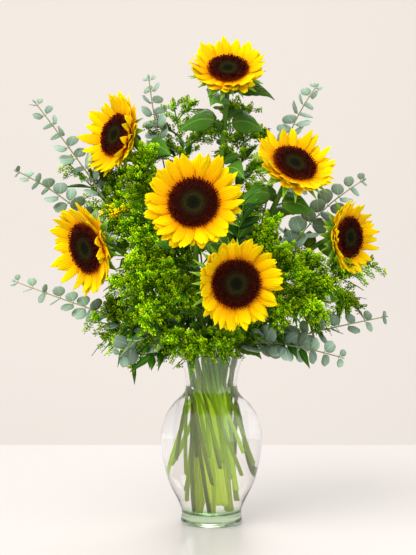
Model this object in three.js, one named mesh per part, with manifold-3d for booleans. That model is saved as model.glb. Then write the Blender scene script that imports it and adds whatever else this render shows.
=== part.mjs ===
// Sunflowers in a glass vase: seven blooms with eucalyptus, goldenrod and leafy stems, in water.
// Millimetres, +Z up, -Y towards the front. The origin is the centre of the vase's foot, underneath.

import * as THREE from 'three';
import { mergeVertices } from 'three/addons/utils/BufferGeometryUtils.js';
import Module from 'manifold-3d';

const wasm = await Module();
wasm.setup();

// ---- Driving dimensions ----

const CLEARANCE = 0.35;          // left between touching pieces
const WELD = 0.1;                // slivers this small, left where pieces join, are closed up
const LEAST_GAP = 0.25;          // a leaf or petal that comes nearer to another piece is moved or left out
const SAME_POINT = 1e-4;         // corners this near are one
const SLOPE_STEP = 0.02;         // share of a blade's spine over which its slope is taken

const WALL = 3;                  // glass
const BASE = 12;                 // thick glass under the water
const BASE_ROUND = 7;            // how far the inside rounds into the base
const FOOT_RADIUS = 37;
const VASE_SIDES = 20;
const SECTION_STEPS = 10;
const HOLE_SIDES = { thick: 6, thin: 4 };  // of the holes in the water that stems stand in
const HOLE_RISE = 6;             // how far those holes run on above the neck's height
const WATER_TOP = 178;
const BRIM_STEP = 2;             // least height between the water's top and the corners under it
const RIM_HEIGHT = 219;
const RIM_RADIUS = 43;
// Knots of the outside, [radius, height], from the foot to the rim.
const VASE_KNOTS = [
  [40, 3], [39, 16], [44, 29], [58, 60], [66, 106], [61, 135], [50, 154], [37, 167], [33.5, 178], [36, 198],
  [RIM_RADIUS, RIM_HEIGHT],
];

const NECK_HEIGHT = 177;         // stems are straight below this height and curve above it
const FOOT_HEIGHT = 14;
const THICK_FEET = { lowest: 17, step: 5, stride: 3, heights: 5 };   // heights of the stems' cut ends
const THIN_FEET = { lowest: 22, step: 14, stride: 5, heights: 6 };
const LEANING_FEET = { lowest: 60, step: 9, stride: 3, heights: 5 };  // of the outer thin stems, which lean out
const BUNDLE_SPREAD = 1.3;       // how much wider the bundle stands at its feet than in the neck
const LEANING_SPREAD = 2.3;      // the same for the outer thin stems, which end before the vase narrows
const BUNDLE_TWIST = 80;         // degrees from the neck to the feet
const THICK_RING = 14;           // radius in the neck at which the flower stems stand
const THIN_RINGS = { inner: 22.6, outer: 27 };  // radii in the neck at which thin stems stand, by turns
const THICK_STEM = 4.3;          // radius
const THIN_STEM = 1.5;           // radius

const ROUTE_STEPS = 48;
const THICK_STEPS = 6;           // straight lengths of a solid flower stem above the neck
const THICK_SIDES = 6;
const THICK_TIP = 0.85;          // the stem's radius at its head, as a share
const FLOWER_ARCH = 50;          // how long a flower stem arches into its head
const THIN_BENDS = [0, 0.1, 0.22, 0.38, 0.58, 0.78, 1];  // where a solid thin stem bends above the neck
const THIN_TIP = 0.7;
const PAIR_STEP = { eucalyptus: 29, leafy: 22 };  // between one pair of leaves and the next
const LAST_PAIR = 0.99;          // where on its stem
const NODE_HALF = 1.1;           // half the height of the band at a leafy stem's node
const NODE_ROOM = 0.04;          // share of such a stem that has no bend below its lowest node
const RELAX_ROUNDS = 45;
const PUSH = 0.3;                // share of a lacking gap that one round opens
const HELD_STEPS = 6;            // over which a stem's ends hold it in place
const LEAST_APART = 0.1;         // the least distance a push is divided by
const RIM_CLEAR = 2.5;           // from a stem to the glass where it leaves the vase
const RIM_ZONE = { up: 4, out: 12 };  // how far above and outside the rim a stem is kept off the glass
const CROWDED = 2.4;             // least room between stems in the vase's neck
const ROOMY = 5;                 // and above the rim
const HEAD_ROOM = { side: 5, front: 28, back: 34 };  // kept free of other stems round a head

// Each flower: the middle of its disc, the way it faces, head and disc diameters, how much further its petals
// cup forward than others (as a share of their length), where they curl over the disc (degrees in the head),
// how much and how narrowly, where its stem stands in the neck (degrees on the ring, or the middle), how far
// it rises before it bends, and its leaves as [place along the stem, direction in degrees, length, width].
const SUNFLOWERS = [
  { name: 'top', at: [21, -20, 589], face: [0, -0.74, 0.67], head: 99, disc: 51, cup: 0, curl: [90, 0, 2],
    neck: null, rise: 190,
    leaves: [[0.9, -20, 64, 30], [0.84, -110, 62, 38], [0.73, 195, 64, 38], [0.72, -30, 58, 36],
      [0.8, 85, 58, 34], [0.55, -60, 60, 34]] },
  { name: 'center', at: [-22, -130, 412], face: [0, -0.97, 0.22], head: 121, disc: 62, cup: 0.1,
    curl: [90, 0, 2], neck: -112, rise: 110,
    leaves: [[0.62, -20, 62, 36], [0.66, 190, 56, 34], [0.48, -150, 58, 36], [0.42, -60, 58, 36]] },
  { name: 'low_center', at: [30, -140, 314], face: [0.22, -0.97, -0.05], head: 110, disc: 60, cup: 0.05,
    curl: [160, 0.6, 2], neck: -55, rise: 58, leaves: [[0.6, -170, 54, 34], [0.66, -5, 50, 32]] },
  { name: 'left', at: [-161, -60, 355], face: [-0.733, -0.643, -0.224], head: 116, disc: 65, cup: 0.05,
    curl: [5, 0.6, 6], neck: -176, rise: 80,
    leaves: [[0.6, 110, 60, 34], [0.36, -115, 56, 36], [0.72, -60, 52, 32]] },
  { name: 'upper_left', at: [-127, -20, 502], face: [-0.736, -0.643, 0.211], head: 109, disc: 55, cup: 0.05,
    curl: [-10, 0.7, 6], neck: 125, rise: 150,
    leaves: [[0.7, 95, 64, 36], [0.85, -40, 52, 32], [0.58, -80, 58, 36]] },
  { name: 'upper_right', at: [106, -50, 466], face: [0.285, -0.719, 0.632], head: 107, disc: 57, cup: 0,
    curl: [200, 0.2, 4], neck: 52, rise: 120,
    leaves: [[0.8, -150, 60, 36], [0.7, 80, 64, 36], [0.62, -125, 58, 34], [0.74, -30, 56, 34]] },
  { name: 'right', at: [178, -40, 370], face: [0.73, -0.68, 0], head: 92, disc: 52, cup: 0.1,
    curl: [180, 0.2, 2], neck: -4, rise: 85,
    leaves: [[0.6, 60, 60, 34], [0.2, -55, 62, 28], [0.48, -100, 58, 34]] },
];

// Each thin stem: its tip, the way it points there, how far it rises before it bends, how long it arches, and
// how much of its upper end bears leaves or twigs.
const EUCALYPTUS = [
  { name: 'a', tip: [-229, 10, 545], aim: [-0.61, 0, 0.79], rise: 90, arch: 150, leafy: 125 },
  { name: 'b', tip: [-250, -8, 455], aim: [-0.91, 0, 0.41], rise: 80, arch: 130, leafy: 110 },
  { name: 'c', tip: [-250, -30, 314], aim: [-0.93, 0, 0.37], rise: 78, arch: 140, leafy: 140 },
  { name: 'd', tip: [-82, 25, 579], aim: [-0.1, 0, 0.99], rise: 150, arch: 120, leafy: 100 },
  { name: 'e', tip: [137, 15, 567], aim: [0.6, 0, 0.8], rise: 130, arch: 120, leafy: 90 },
  { name: 'f', tip: [194, -15, 443], aim: [0.85, 0, 0.53], rise: 90, arch: 120, leafy: 125 },
  { name: 'g', tip: [219, -35, 269], aim: [0.97, 0, 0.2], rise: 52, arch: 110, leafy: 100 },
  { name: 'h', tip: [160, -70, 221], aim: [0.95, -0.2, -0.24], rise: 80, arch: 95, leafy: 110 },
  { name: 'i', tip: [-112, -72, 224], aim: [-0.6, -0.4, -0.7], rise: 62, arch: 70, leafy: 75 },
  { name: 'back_left', tip: [-150, 105, 430], aim: [-0.7, 0.4, 0.6], rise: 85, arch: 120, leafy: 130 },
  { name: 'back_right', tip: [125, 120, 440], aim: [0.55, 0.5, 0.67], rise: 90, arch: 120, leafy: 130 },
  { name: 'back', tip: [12, 150, 372], aim: [0, 0.9, 0.44], rise: 75, arch: 110, leafy: 120 },
];
// Goldenrod also has side plumes, given by their tips.
const GOLDENROD = [
  { name: 'a', tip: [-190, 28, 469], aim: [-0.75, 0, 0.66], rise: 85, arch: 110, leafy: 95,
    plumes: [[-142, 20, 462], [-112, 14, 461], [-158, 24, 401], [-122, 6, 424]] },
  { name: 'b', tip: [-50, 38, 546], aim: [-0.2, 0, 0.98], rise: 140, arch: 110, leafy: 90,
    plumes: [[-82, 40, 519], [-87, 30, 486], [-60, 26, 488], [-23, 30, 547], [-7, 22, 509]] },
  { name: 'c', tip: [52, 42, 542], aim: [0.25, 0, 0.97], rise: 140, arch: 110, leafy: 90,
    plumes: [[27, 34, 545], [67, 36, 508], [62, 30, 465], [14, 26, 486], [60, -20, 440]] },
  { name: 'd', tip: [208, -8, 333], aim: [0.95, 0, 0.3], rise: 65, arch: 120, leafy: 95,
    plumes: [[165, -20, 338], [180, -24, 287], [141, -34, 267], [129, -26, 308]] },
  { name: 'e', tip: [-150, -28, 262], aim: [-0.95, -0.1, 0.1], rise: 55, arch: 100, leafy: 90,
    plumes: [[-127, -34, 290], [-100, -46, 276], [-118, -40, 234]] },
  { name: 'f', tip: [-103, -45, 425], aim: [-0.55, -0.3, 0.78], rise: 85, arch: 90, leafy: 90,
    plumes: [[-76, -34, 445], [-129, -34, 402], [-89, -60, 369], [-30, -50, 359], [-84, -46, 488]] },
  { name: 'g', tip: [-92, -92, 305], aim: [-0.6, -0.7, 0.3], rise: 62, arch: 75, leafy: 80,
    plumes: [[-118, -84, 320], [-56, -88, 339], [-28, -108, 316], [-73, -98, 257], [-95, -100, 352]] },
  { name: 'h', tip: [108, -84, 335], aim: [0.6, -0.6, 0.5], rise: 70, arch: 80, leafy: 80,
    plumes: [[95, -66, 354], [131, -62, 347], [145, -66, 314], [119, -84, 288], [89, -92, 278],
      [72, -58, 398]] },
  { name: 'i', tip: [-12, -82, 236], aim: [-0.1, -0.9, -0.4], rise: 62, arch: 55, leafy: 60,
    plumes: [[-29, -88, 222], [22, -86, 227]] },
  { name: 'back_left', tip: [-95, 110, 352], aim: [-0.5, 0.7, 0.5], rise: 70, arch: 95, leafy: 90,
    plumes: [[-100, 70, 392], [-63, 60, 374], [-113, 64, 448]] },
  { name: 'back_right', tip: [95, 105, 350], aim: [0.5, 0.7, 0.5], rise: 70, arch: 95, leafy: 90,
    plumes: [[69, 70, 378], [46, 56, 421], [121, 76, 384]] },
];
// The leafy stems' narrow leaves each have their own length.
const LEAFY = [
  { name: 'left', tip: [-74, -56, 221], aim: [-0.5, -0.4, -0.77], rise: 60, arch: 55, leafy: 50, leaf: 32 },
  { name: 'right', tip: [112, -54, 230], aim: [0.8, -0.2, -0.5], rise: 58, arch: 75, leafy: 75, leaf: 32 },
  { name: 'middle', tip: [40, -62, 415], aim: [0.1, -0.3, 0.95], rise: 100, arch: 90, leafy: 110, leaf: 44 },
  { name: 'back', tip: [25, 100, 262], aim: [0.1, 0.9, -0.2], rise: 60, arch: 70, leafy: 75, leaf: 44 },
];

const DISC_RISE = 6;             // from the disc's flat back to its front
const DISC_SIDES = 12;
const DISC_BACK = 0.7;           // the disc's flat back, as a share of its radius
// The disc's florets as rows of relief, each [radius as a share, height, how far it stands out].
const DISC_ROWS = [[1, 2.2, 0.4], [0.86, 5.2, 1.0], [0.68, 5.6, 1.1], [0.42, 4.3, 0.6]];
const DISC_DIP = 5.2;            // height of its middle

// The ring that petals grow on, from the disc's radius, and the petals, in two layers by turns. Each layer
// has its place in the ring's thickness and its lift. Stations are [place, half width as a share of width].
const RING = { inner: 0.6, outer: 0.86, thick: 2.6 };
const PETAL = {
  count: 18, width: 12.5, headOfWidth: 110, thick: 1.1, power: 1.9, shortest: 0.9, depths: [0.25, 0.75],
  lifts: [0.45, 0.2], spread: 0.12, sway: 0.14, curled: 0.3, stations: [[0.36, 0.5], [0.72, 0.42]],
};
// Changes tried on a petal that meets another node: more lift, and a share of its length.
const PETAL_CHANGES = [[0, 1], [5, 1], [-4, 1], [10, 0.9], [0, 0.8], [14, 0.75], [4, 0.6]];

// The green cup behind the head, as [share of its outer radius, distance behind the petals' ring], and its
// bracts, in two rows by turns.
const CALYX = { outer: 0.84, back: -22, neck: 5, section: [[1, 1.8], [0.93, 4.8], [0.46, 11]] };
const BRACT = {
  count: 10, reach: 0.25, shortest: 0.8, spread: 0.4, sway: 0.3, depth: 1, rowDepth: 2.5, lift: 1, rowLift: 5,
  power: 1.4, thick: 1.3, stations: [[0.35, 5.5]],
};
const BRACT_DROPS = [0, 4, 8, -1.5];
const STEM_IN_HEAD = 5;          // how far the stem's end lies inside the calyx

const SEEDS = { petals: 100, bracts: 200, eucalyptus: 300, goldenrod: 400, leafy: 500 };
const LIGHT = [0, -0.8, 0.6];    // leaves turn their faces this way
const EUCALYPTUS_LEAF = {
  lowest: 20, highest: 8, smallest: 0.9, spread: 0.2, stalk: 4, thick: 0.9, rise: 0.55, turn: 0.5, roll: 0.5,
  mostRoll: 1, stations: [[0.42, 0.98], [0.8, 0.84]],
};
const NARROW_LEAF = {
  width: 13, widthOfLength: 44, shortest: 0.8, spread: 0.35, thick: 0.9, rise: 1.1, turn: 0.6, droop: 0.2,
  mostRoll: 0.6, stations: [[0.3, 0.95], [0.62, 0.85]],
};
const BROAD_LEAF = {
  thick: 1.4, rise: 0.35, droop: 0.8, cup: -0.18, mostRoll: 1.2,
  stations: [[0, 0.1], [0.25, 0.75], [0.5, 1], [0.78, 0.52], [1, 0]],
};
// A chain of buds: its beads swell and narrow by turns along the twig and shrink towards its tip.
const BUDS = { sides: 3, radius: 3.3, waist: 0.45, taper: 0.35, step: 21, fewest: 4 };
const TWIG = {
  count: 6, lowest: 38, highest: 18, shortest: 0.85, spread: 0.3, rise: 0.9, turn: 0.4, steps: 4,
  leastDroop: 0.25, droop: 0.3,
};
const SIDE_PLUME = { lean: 0.6, lowest: 0.16, droop: 0.12, lift: 0.5 };
const LEAF_ANGLE = 137.5;        // degrees from one twig of a plume to the next
// Changes tried on a leaf or twig that meets another node: turned, a share of its length, lifted.
const LEAF_TRIES = [
  { turn: 0, length: 1, lift: 0 }, { turn: 0.35, length: 1, lift: 0.2 },
  { turn: -0.35, length: 1, lift: 0.2 }, { turn: 0, length: 0.85, lift: 0.7 },
  { turn: 0, length: 0.8, lift: -0.6 }, { turn: 0.8, length: 0.8, lift: 0 },
  { turn: -0.8, length: 0.8, lift: 0 }, { turn: 0, length: 0.6, lift: 0 },
];

const FINISHES = {
  glass: { color: 0xc9dccb, roughness: 0.05 }, water: { color: 0xb9cf8a, roughness: 0.05 },
  petals: { color: 0xffc400, roughness: 0.6 }, disc: { color: 0x2a0a04, roughness: 0.9 },
  stem: { color: 0x6f9c28, roughness: 0.6 }, eucalyptus: { color: 0x9fb5a0, roughness: 0.6 },
  goldenrod: { color: 0x8fb524, roughness: 0.6 }, leafy: { color: 0x3f7d1c, roughness: 0.6 },
};

// ---- Small helpers ----

const UP = new THREE.Vector3(0, 0, 1);
const vec = (x, y, z) => new THREE.Vector3(x, y, z);
const degrees = (angle) => angle * Math.PI / 180;

function seeded(seed) {
  let state = seed >>> 0;
  return () => {
    state = (state + 0x6D2B79F5) >>> 0;
    let t = Math.imul(state ^ (state >>> 15), 1 | state);
    t = (t + Math.imul(t ^ (t >>> 7), 61 | t)) ^ t;
    return ((t ^ (t >>> 14)) >>> 0) / 4294967296;
  };
}

// A point moved along pairs of [direction, distance].
function offset(point, ...moves) {
  const result = point.clone();
  for (const [direction, distance] of moves) {
    result.addScaledVector(direction, distance);
  }
  return result;
}

// Skins the band between two rings of points into a list of triangles. A ring of one point is a tip. Both
// halves of a ring are split alike, so that the two faces of a thin blade don't cross.
function bridge(faces, a, b) {
  const count = Math.max(a.length, b.length);
  for (let j = 0; j < count; j++) {
    const k = (j + 1) % count;
    if (a.length === 1) {
      faces.push([a[0], b[k], b[j]]);
    } else if (b.length === 1) {
      faces.push([a[j], a[k], b[0]]);
    } else if (j < count / 2) {
      faces.push([a[j], a[k], b[k]], [a[j], b[k], b[j]]);
    } else {
      faces.push([a[j], a[k], b[j]], [a[k], b[k], b[j]]);
    }
  }
}

// A four-cornered face of a body, or the blade of these rings grown out of it.
function growFace(faces, root, rings) {
  if (rings) {
    rings.forEach((ring, i) => bridge(faces, i === 0 ? root : rings[i - 1], ring));
  } else {
    faces.push([root[0], root[1], root[2]], [root[0], root[2], root[3]]);
  }
}

function meshOf(faces) {
  const geometry = new THREE.BufferGeometry().setFromPoints(faces.flat());
  return facingOut(mergeVertices(geometry, SAME_POINT));
}

// A closed skin over rings of points, with flat ends.
function loft(rings) {
  const faces = [];
  rings.slice(1).forEach((ring, i) => bridge(faces, rings[i], ring));
  const [first, last] = [rings[0], rings[rings.length - 1]];
  for (let j = 1; j + 1 < first.length; j++) {
    faces.push([first[0], first[j + 1], first[j]]);
  }
  for (let j = 1; j + 1 < last.length; j++) {
    faces.push([last[0], last[j], last[j + 1]]);
  }
  return meshOf(faces);
}

function facingOut(geometry) {
  const position = geometry.getAttribute('position');
  const index = geometry.getIndex().array;
  const corner = (i) => new THREE.Vector3().fromBufferAttribute(position, index[i]);
  let volume = 0;
  for (let i = 0; i < index.length; i += 3) {
    volume += corner(i).dot(corner(i + 1).cross(corner(i + 2)));
  }
  if (volume < 0) {
    for (let i = 0; i < index.length; i += 3) {
      [index[i], index[i + 1]] = [index[i + 1], index[i]];
    }
  }
  return geometry;
}

function solidOf(geometry) {
  return new wasm.Manifold(new wasm.Mesh({
    numProp: 3,
    vertProperties: new Float32Array(geometry.getAttribute('position').array),
    triVerts: new Uint32Array(geometry.getIndex().array),
  }));
}

function geometryOf(solid) {
  const mesh = solid.getMesh();
  const geometry = new THREE.BufferGeometry();
  geometry.setAttribute('position', new THREE.BufferAttribute(new Float32Array(mesh.vertProperties), 3));
  geometry.setIndex(new THREE.BufferAttribute(new Uint32Array(mesh.triVerts), 1));
  return geometry.toNonIndexed();
}

// A round lathe standing along +Z, from [radius, height] points.
function turned(profile, sides) {
  const points = profile.map(([radius, height]) => new THREE.Vector2(radius, height));
  const geometry = new THREE.LatheGeometry(points, sides);
  geometry.rotateX(Math.PI / 2);
  geometry.deleteAttribute('normal');
  geometry.deleteAttribute('uv');
  return facingOut(mergeVertices(geometry, SAME_POINT));
}

// Rings of a tube through points, one radius a point, carried along without twist. A radius of 0 is a tip.
function tubeRings(points, radii, sides) {
  let side = null;
  return points.map((point, i) => {
    const before = points[Math.max(i - 1, 0)];
    const after = points[Math.min(i + 1, points.length - 1)];
    const tangent = after.clone().sub(before).normalize();
    side = side ?? (Math.abs(tangent.x) < 0.9 ? vec(1, 0, 0) : vec(0, 1, 0));
    side = side.clone().addScaledVector(tangent, -side.dot(tangent)).normalize();
    const across = tangent.clone().cross(side);
    const spot = (turn) => offset(
      point, [side, radii[i] * Math.cos(turn)], [across, radii[i] * Math.sin(turn)]);
    return radii[i] === 0 ? [point] : Array.from({ length: sides }, (_, j) => spot(2 * Math.PI * j / sides));
  });
}

function tube(points, radii, sides) {
  return loft(tubeRings(points, radii, sides));
}

// A blade along a spine, lens-shaped across: stations are [place, half width as a share], the tip is sharp.
function blade({ spine, side, width, thick, cup, stations }) {
  const rings = stations.map(([spot, share]) => {
    const middle = spine(spot);
    const ahead = spine(Math.min(spot + SLOPE_STEP, 1)).sub(spine(Math.max(spot - SLOPE_STEP, 0)))
      .normalize();
    const normal = side.clone().cross(ahead).normalize();
    const half = share * width / 2;
    const depth = thick / 2;
    if (half === 0) {
      return [middle];
    }
    return [
      offset(middle, [side, -half], [normal, cup * half]),
      offset(middle, [normal, depth]),
      offset(middle, [side, half], [normal, cup * half]),
      offset(middle, [normal, -depth]),
    ];
  });
  return loft(rings);
}

// ---- The growing bouquet: what is placed so far, by node ----

const placed = [];
const skins = new Map();         // nodes that were made as one skin

function place(node, geometry, fixed = false) {
  const solid = solidOf(geometry);
  const box = solid.boundingBox();
  if (!fixed && !isClear(node, solid, box)) {
    return false;
  }
  placed.push({ node, solid, box });
  return true;
}

function isClear(node, solid, box) {
  const near = (other) => [0, 1, 2].every(
    (i) => box.min[i] < other.box.max[i] + LEAST_GAP && other.box.min[i] < box.max[i] + LEAST_GAP);
  return placed.every((other) => other.node === node || !near(other)
    || solid.minGap(other.solid, 2 * LEAST_GAP) > LEAST_GAP);
}

// Tries a piece as drawn, then turned or shortened, until it is clear of the other nodes.
function placeClear(node, makePiece, tries) {
  return tries.some((change) => place(node, makePiece(change)));
}

// The largest body of a solid: loose scraps and sealed hollows are dropped.
function largestBody(solid) {
  const bodies = solid.decompose();
  return geometryOf(bodies.reduce((a, b) => (a.volume() > b.volume() ? a : b)).simplify(WELD));
}

function fused(node) {
  const own = placed.filter((piece) => piece.node === node).map((piece) => piece.solid);
  return largestBody(wasm.Manifold.union(own));
}

// ---- Vase and water ----

function vaseSection() {
  const knots = VASE_KNOTS.map(([radius, height]) => new THREE.Vector2(radius, height));
  return new THREE.SplineCurve(knots).getPoints(SECTION_STEPS);
}

function insideSection() {
  const wall = vaseSection().filter((p) => p.y > BASE + BASE_ROUND).map((p) => [p.x - WALL, p.y]);
  return [[0, BASE], [wall[0][0] - BASE_ROUND, BASE], ...wall];
}

function insideRadius(height) {
  const section = insideSection().slice(2);   // without the floor
  const i = Math.max(1, section.findIndex(([, z]) => z >= height));
  const [[r0, z0], [r1, z1]] = [section[i - 1], section[i]];
  return r0 + (r1 - r0) * (height - z0) / (z1 - z0);
}

function vaseGeometry() {
  const outside = vaseSection().map((p) => [p.x, p.y]);
  return turned([[0, 0], [FOOT_RADIUS, 0], ...outside, ...insideSection().reverse()], VASE_SIDES);
}

function waterGeometry(stems) {
  const under = insideSection().filter(([, z]) => z < WATER_TOP - BRIM_STEP);
  const inside = under.map(([r, z]) => [Math.max(r - CLEARANCE, 0), z]);
  inside[0][1] += CLEARANCE;
  inside[1][1] += CLEARANCE;
  const brim = insideRadius(WATER_TOP) - CLEARANCE;
  const body = solidOf(turned([...inside, [brim, WATER_TOP], [0, WATER_TOP]], VASE_SIDES));
  const holes = stems.map(({ foot, neck, radius }) => {
    const down = foot.clone().sub(neck).normalize();
    const wide = radius + 2 * CLEARANCE;
    const ends = [offset(foot, [down, 2 * CLEARANCE]), offset(neck, [down, -HOLE_RISE])];
    return solidOf(tube(ends, [wide, wide], radius === THICK_STEM ? HOLE_SIDES.thick : HOLE_SIDES.thin));
  });
  return largestBody(body.subtract(wasm.Manifold.union(holes)));
}

// ---- Stem routes ----

// The foot of a stem under its place in the neck: the bundle widens and twists as one, so none cross.
function footOf(neck, height, spread = BUNDLE_SPREAD) {
  const turn = degrees(BUNDLE_TWIST);
  const x = spread * (neck.x * Math.cos(turn) - neck.y * Math.sin(turn));
  const y = spread * (neck.x * Math.sin(turn) + neck.y * Math.cos(turn));
  const lowest = vec(x, y, FOOT_HEIGHT);
  const share = (NECK_HEIGHT - height) / (NECK_HEIGHT - FOOT_HEIGHT);
  return neck.clone().lerp(lowest, share);
}

function route(stem) {
  const heading = stem.neck.clone().sub(footOf(stem.neck, FOOT_HEIGHT)).normalize();
  const curve = new THREE.CubicBezierCurve3(
    stem.neck,
    offset(stem.neck, [heading, stem.rise]),
    offset(stem.end, [stem.aim, -stem.arch]),
    stem.end,
  );
  return curve.getPoints(ROUTE_STEPS);
}

// Keeps a thin stem's point off the heads and off the glass.
function keepOff(point, stem) {
  const away = vec(0, 0, 0);
  for (const flower of SUNFLOWERS) {
    if (flower.name === stem.flower) {
      continue;
    }
    const face = vec(...flower.face).normalize();
    const from = point.clone().sub(vec(...flower.at));
    const ahead = from.dot(face);
    const aside = offset(from, [face, -ahead]);
    const reach = flower.head / 2 + stem.radius + HEAD_ROOM.side;
    if (aside.length() < reach && ahead < HEAD_ROOM.front && ahead > -HEAD_ROOM.back) {
      const out = reach - aside.length();
      const back = ahead + HEAD_ROOM.back;
      if (out < back) {
        away.addScaledVector(aside.normalize(), out);
      } else {
        away.addScaledVector(face, -back);
      }
    }
  }
  return away;
}

function keepInNeck(point, stem) {
  const reach = Math.hypot(point.x, point.y);
  if (point.z < RIM_HEIGHT + RIM_ZONE.up && reach < RIM_RADIUS + RIM_ZONE.out) {
    const room = insideRadius(Math.min(point.z, RIM_HEIGHT - 1)) - stem.radius - RIM_CLEAR;
    if (reach > room) {
      point.x *= room / reach;
      point.y *= room / reach;
    }
  }
}

// Pushes crossing stems apart, with their two ends held, and spreads each push smoothly along the stem.
function relax(stems) {
  const first = stems.map((stem) => stem.points.map((p) => p.clone()));
  for (let round = 0; round < RELAX_ROUNDS; round++) {
    const pushes = stems.map((stem) => stem.points.map((p) => keepOff(p, stem).multiplyScalar(PUSH)));
    for (let a = 0; a < stems.length; a++) {
      for (let b = a + 1; b < stems.length; b++) {
        for (let i = 1; i < ROUTE_STEPS; i++) {
          for (let j = 1; j < ROUTE_STEPS; j++) {
            const apart = stems[a].points[i].clone().sub(stems[b].points[j]);
            const high = Math.min(stems[a].points[i].z, stems[b].points[j].z) > RIM_HEIGHT;
            const want = stems[a].radius + stems[b].radius + (high ? ROOMY : CROWDED);
            const gap = apart.length();
            if (gap < want) {
              apart.multiplyScalar(PUSH * (want - gap) / Math.max(gap, LEAST_APART));
              const share = stems[a].radius / (stems[a].radius + stems[b].radius);
              pushes[a][i].addScaledVector(apart, 1 - share);
              pushes[b][j].addScaledVector(apart, -share);
            }
          }
        }
      }
    }
    stems.forEach((stem, s) => {
      const moved = stem.points.map((p, i) => p.clone().sub(first[s][i]).add(pushes[s][i]));
      for (let i = 1; i < ROUTE_STEPS; i++) {
        const held = Math.min(1, i / HELD_STEPS, (ROUTE_STEPS - i) / HELD_STEPS);
        const beside = moved[i - 1].clone().add(moved[i + 1]).multiplyScalar(0.25);
        const smooth = beside.addScaledVector(moved[i], 0.5);
        stem.points[i].copy(first[s][i]).addScaledVector(smooth, held);
        keepInNeck(stem.points[i], stem);
      }
    });
  }
}

// The cut ends stand at several heights, in a mixed order.
function footStep({ lowest, step, stride, heights }, i) {
  return lowest + step * ((i * stride) % heights);
}

function makeStems() {
  const thick = SUNFLOWERS.map((flower, i) => {
    const face = vec(...flower.face).normalize();
    const ring = flower.neck === null ? 0 : THICK_RING;
    const turn = degrees(flower.neck ?? 0);
    return {
      kind: 'sunflower', name: `sunflower_${flower.name}`, flower: flower.name, plan: flower,
      radius: THICK_STEM, neck: vec(ring * Math.cos(turn), ring * Math.sin(turn), NECK_HEIGHT),
      footHeight: footStep(THICK_FEET, i),
      end: offset(vec(...flower.at), [face, CALYX.back - DISC_RISE + STEM_IN_HEAD]),
      aim: face, rise: flower.rise, arch: FLOWER_ARCH,
    };
  });
  const kinds = { eucalyptus: EUCALYPTUS, goldenrod: GOLDENROD, leafy: LEAFY };
  const thin = Object.entries(kinds).flatMap(([kind, plans]) => plans.map((plan) => ({
    kind, name: `${kind}_${plan.name}`, plan, radius: THIN_STEM, end: vec(...plan.tip),
    aim: vec(...plan.aim).normalize(), rise: plan.rise, arch: plan.arch,
  })));
  const turnOf = (stem) => Math.atan2(stem.end.y, stem.end.x);
  [...thin].sort((a, b) => turnOf(a) - turnOf(b)).forEach((stem, i) => {
    const turn = -Math.PI + 2 * Math.PI * (i + 0.5) / thin.length;
    const outer = i % 2 === 1;
    const ring = outer ? THIN_RINGS.outer : THIN_RINGS.inner;
    stem.neck = vec(ring * Math.cos(turn), ring * Math.sin(turn), NECK_HEIGHT);
    stem.footHeight = footStep(outer ? LEANING_FEET : THIN_FEET, Math.floor(i / 2));
    stem.spread = outer ? LEANING_SPREAD : BUNDLE_SPREAD;
  });
  const stems = [...thick, ...thin];
  for (const stem of stems) {
    stem.foot = footOf(stem.neck, stem.footHeight, stem.spread);
    stem.points = route(stem);
  }
  relax(stems);
  for (const stem of stems) {
    stem.bends = stem.kind === 'sunflower'
      ? Array.from({ length: THICK_STEPS + 1 }, (_, i) => i / THICK_STEPS) : THIN_BENDS;
    if (stem.kind === 'eucalyptus' || stem.kind === 'leafy') {
      const pairs = Math.round(stem.plan.leafy / PAIR_STEP[stem.kind]);
      const leafy = stem.plan.leafy / stemLength(stem);
      stem.nodes = Array.from({ length: pairs + 1 }, (_, i) => LAST_PAIR - leafy * (1 - i / pairs));
    }
  }
  return stems;
}

// The place and direction at a share of the stem above the neck, on its smooth route.
function onRoute(stem, share) {
  const spot = Math.min(Math.max(share, 0), 1) * ROUTE_STEPS;
  const i = Math.min(Math.floor(spot), ROUTE_STEPS - 1);
  const point = stem.points[i].clone().lerp(stem.points[i + 1], spot - i);
  const tangent = stem.points[i + 1].clone().sub(stem.points[i]).normalize();
  return { point, tangent };
}

// The same on the straight lengths of the solid stem.
function onStem(stem, share) {
  const i = Math.max(1, stem.bends.findIndex((bend) => bend >= share));
  const [low, high] = [onRoute(stem, stem.bends[i - 1]).point, onRoute(stem, stem.bends[i]).point];
  const point = low.clone().lerp(high, (share - stem.bends[i - 1]) / (stem.bends[i] - stem.bends[i - 1]));
  return { point, tangent: high.clone().sub(low).normalize() };
}

function stemLength(stem) {
  return stem.points.slice(1).reduce((sum, p, i) => sum + p.distanceTo(stem.points[i]), 0);
}

function stemTube(stem, sides, tipShare) {
  const points = [stem.foot, ...stem.bends.map((share) => onRoute(stem, share).point)];
  const thinned = (i) => (1 - tipShare) * Math.max(0, i - 1) / stem.bends.length;
  return tube(points, points.map((p, i) => stem.radius * (1 - thinned(i))), sides);
}

// ---- Sunflowers ----

// A head's own axes: right, up and the way it faces, from the flat back of its disc.
function headFrame(flower) {
  const face = vec(...flower.face).normalize();
  const right = UP.clone().cross(face).normalize();
  const up = face.clone().cross(right);
  const middle = offset(vec(...flower.at), [face, -DISC_RISE]);
  const spot = (radius, turn, ahead) => offset(
    middle, [right, radius * Math.cos(turn)], [up, radius * Math.sin(turn)], [face, ahead]);
  return { right, up, spot };
}

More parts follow.
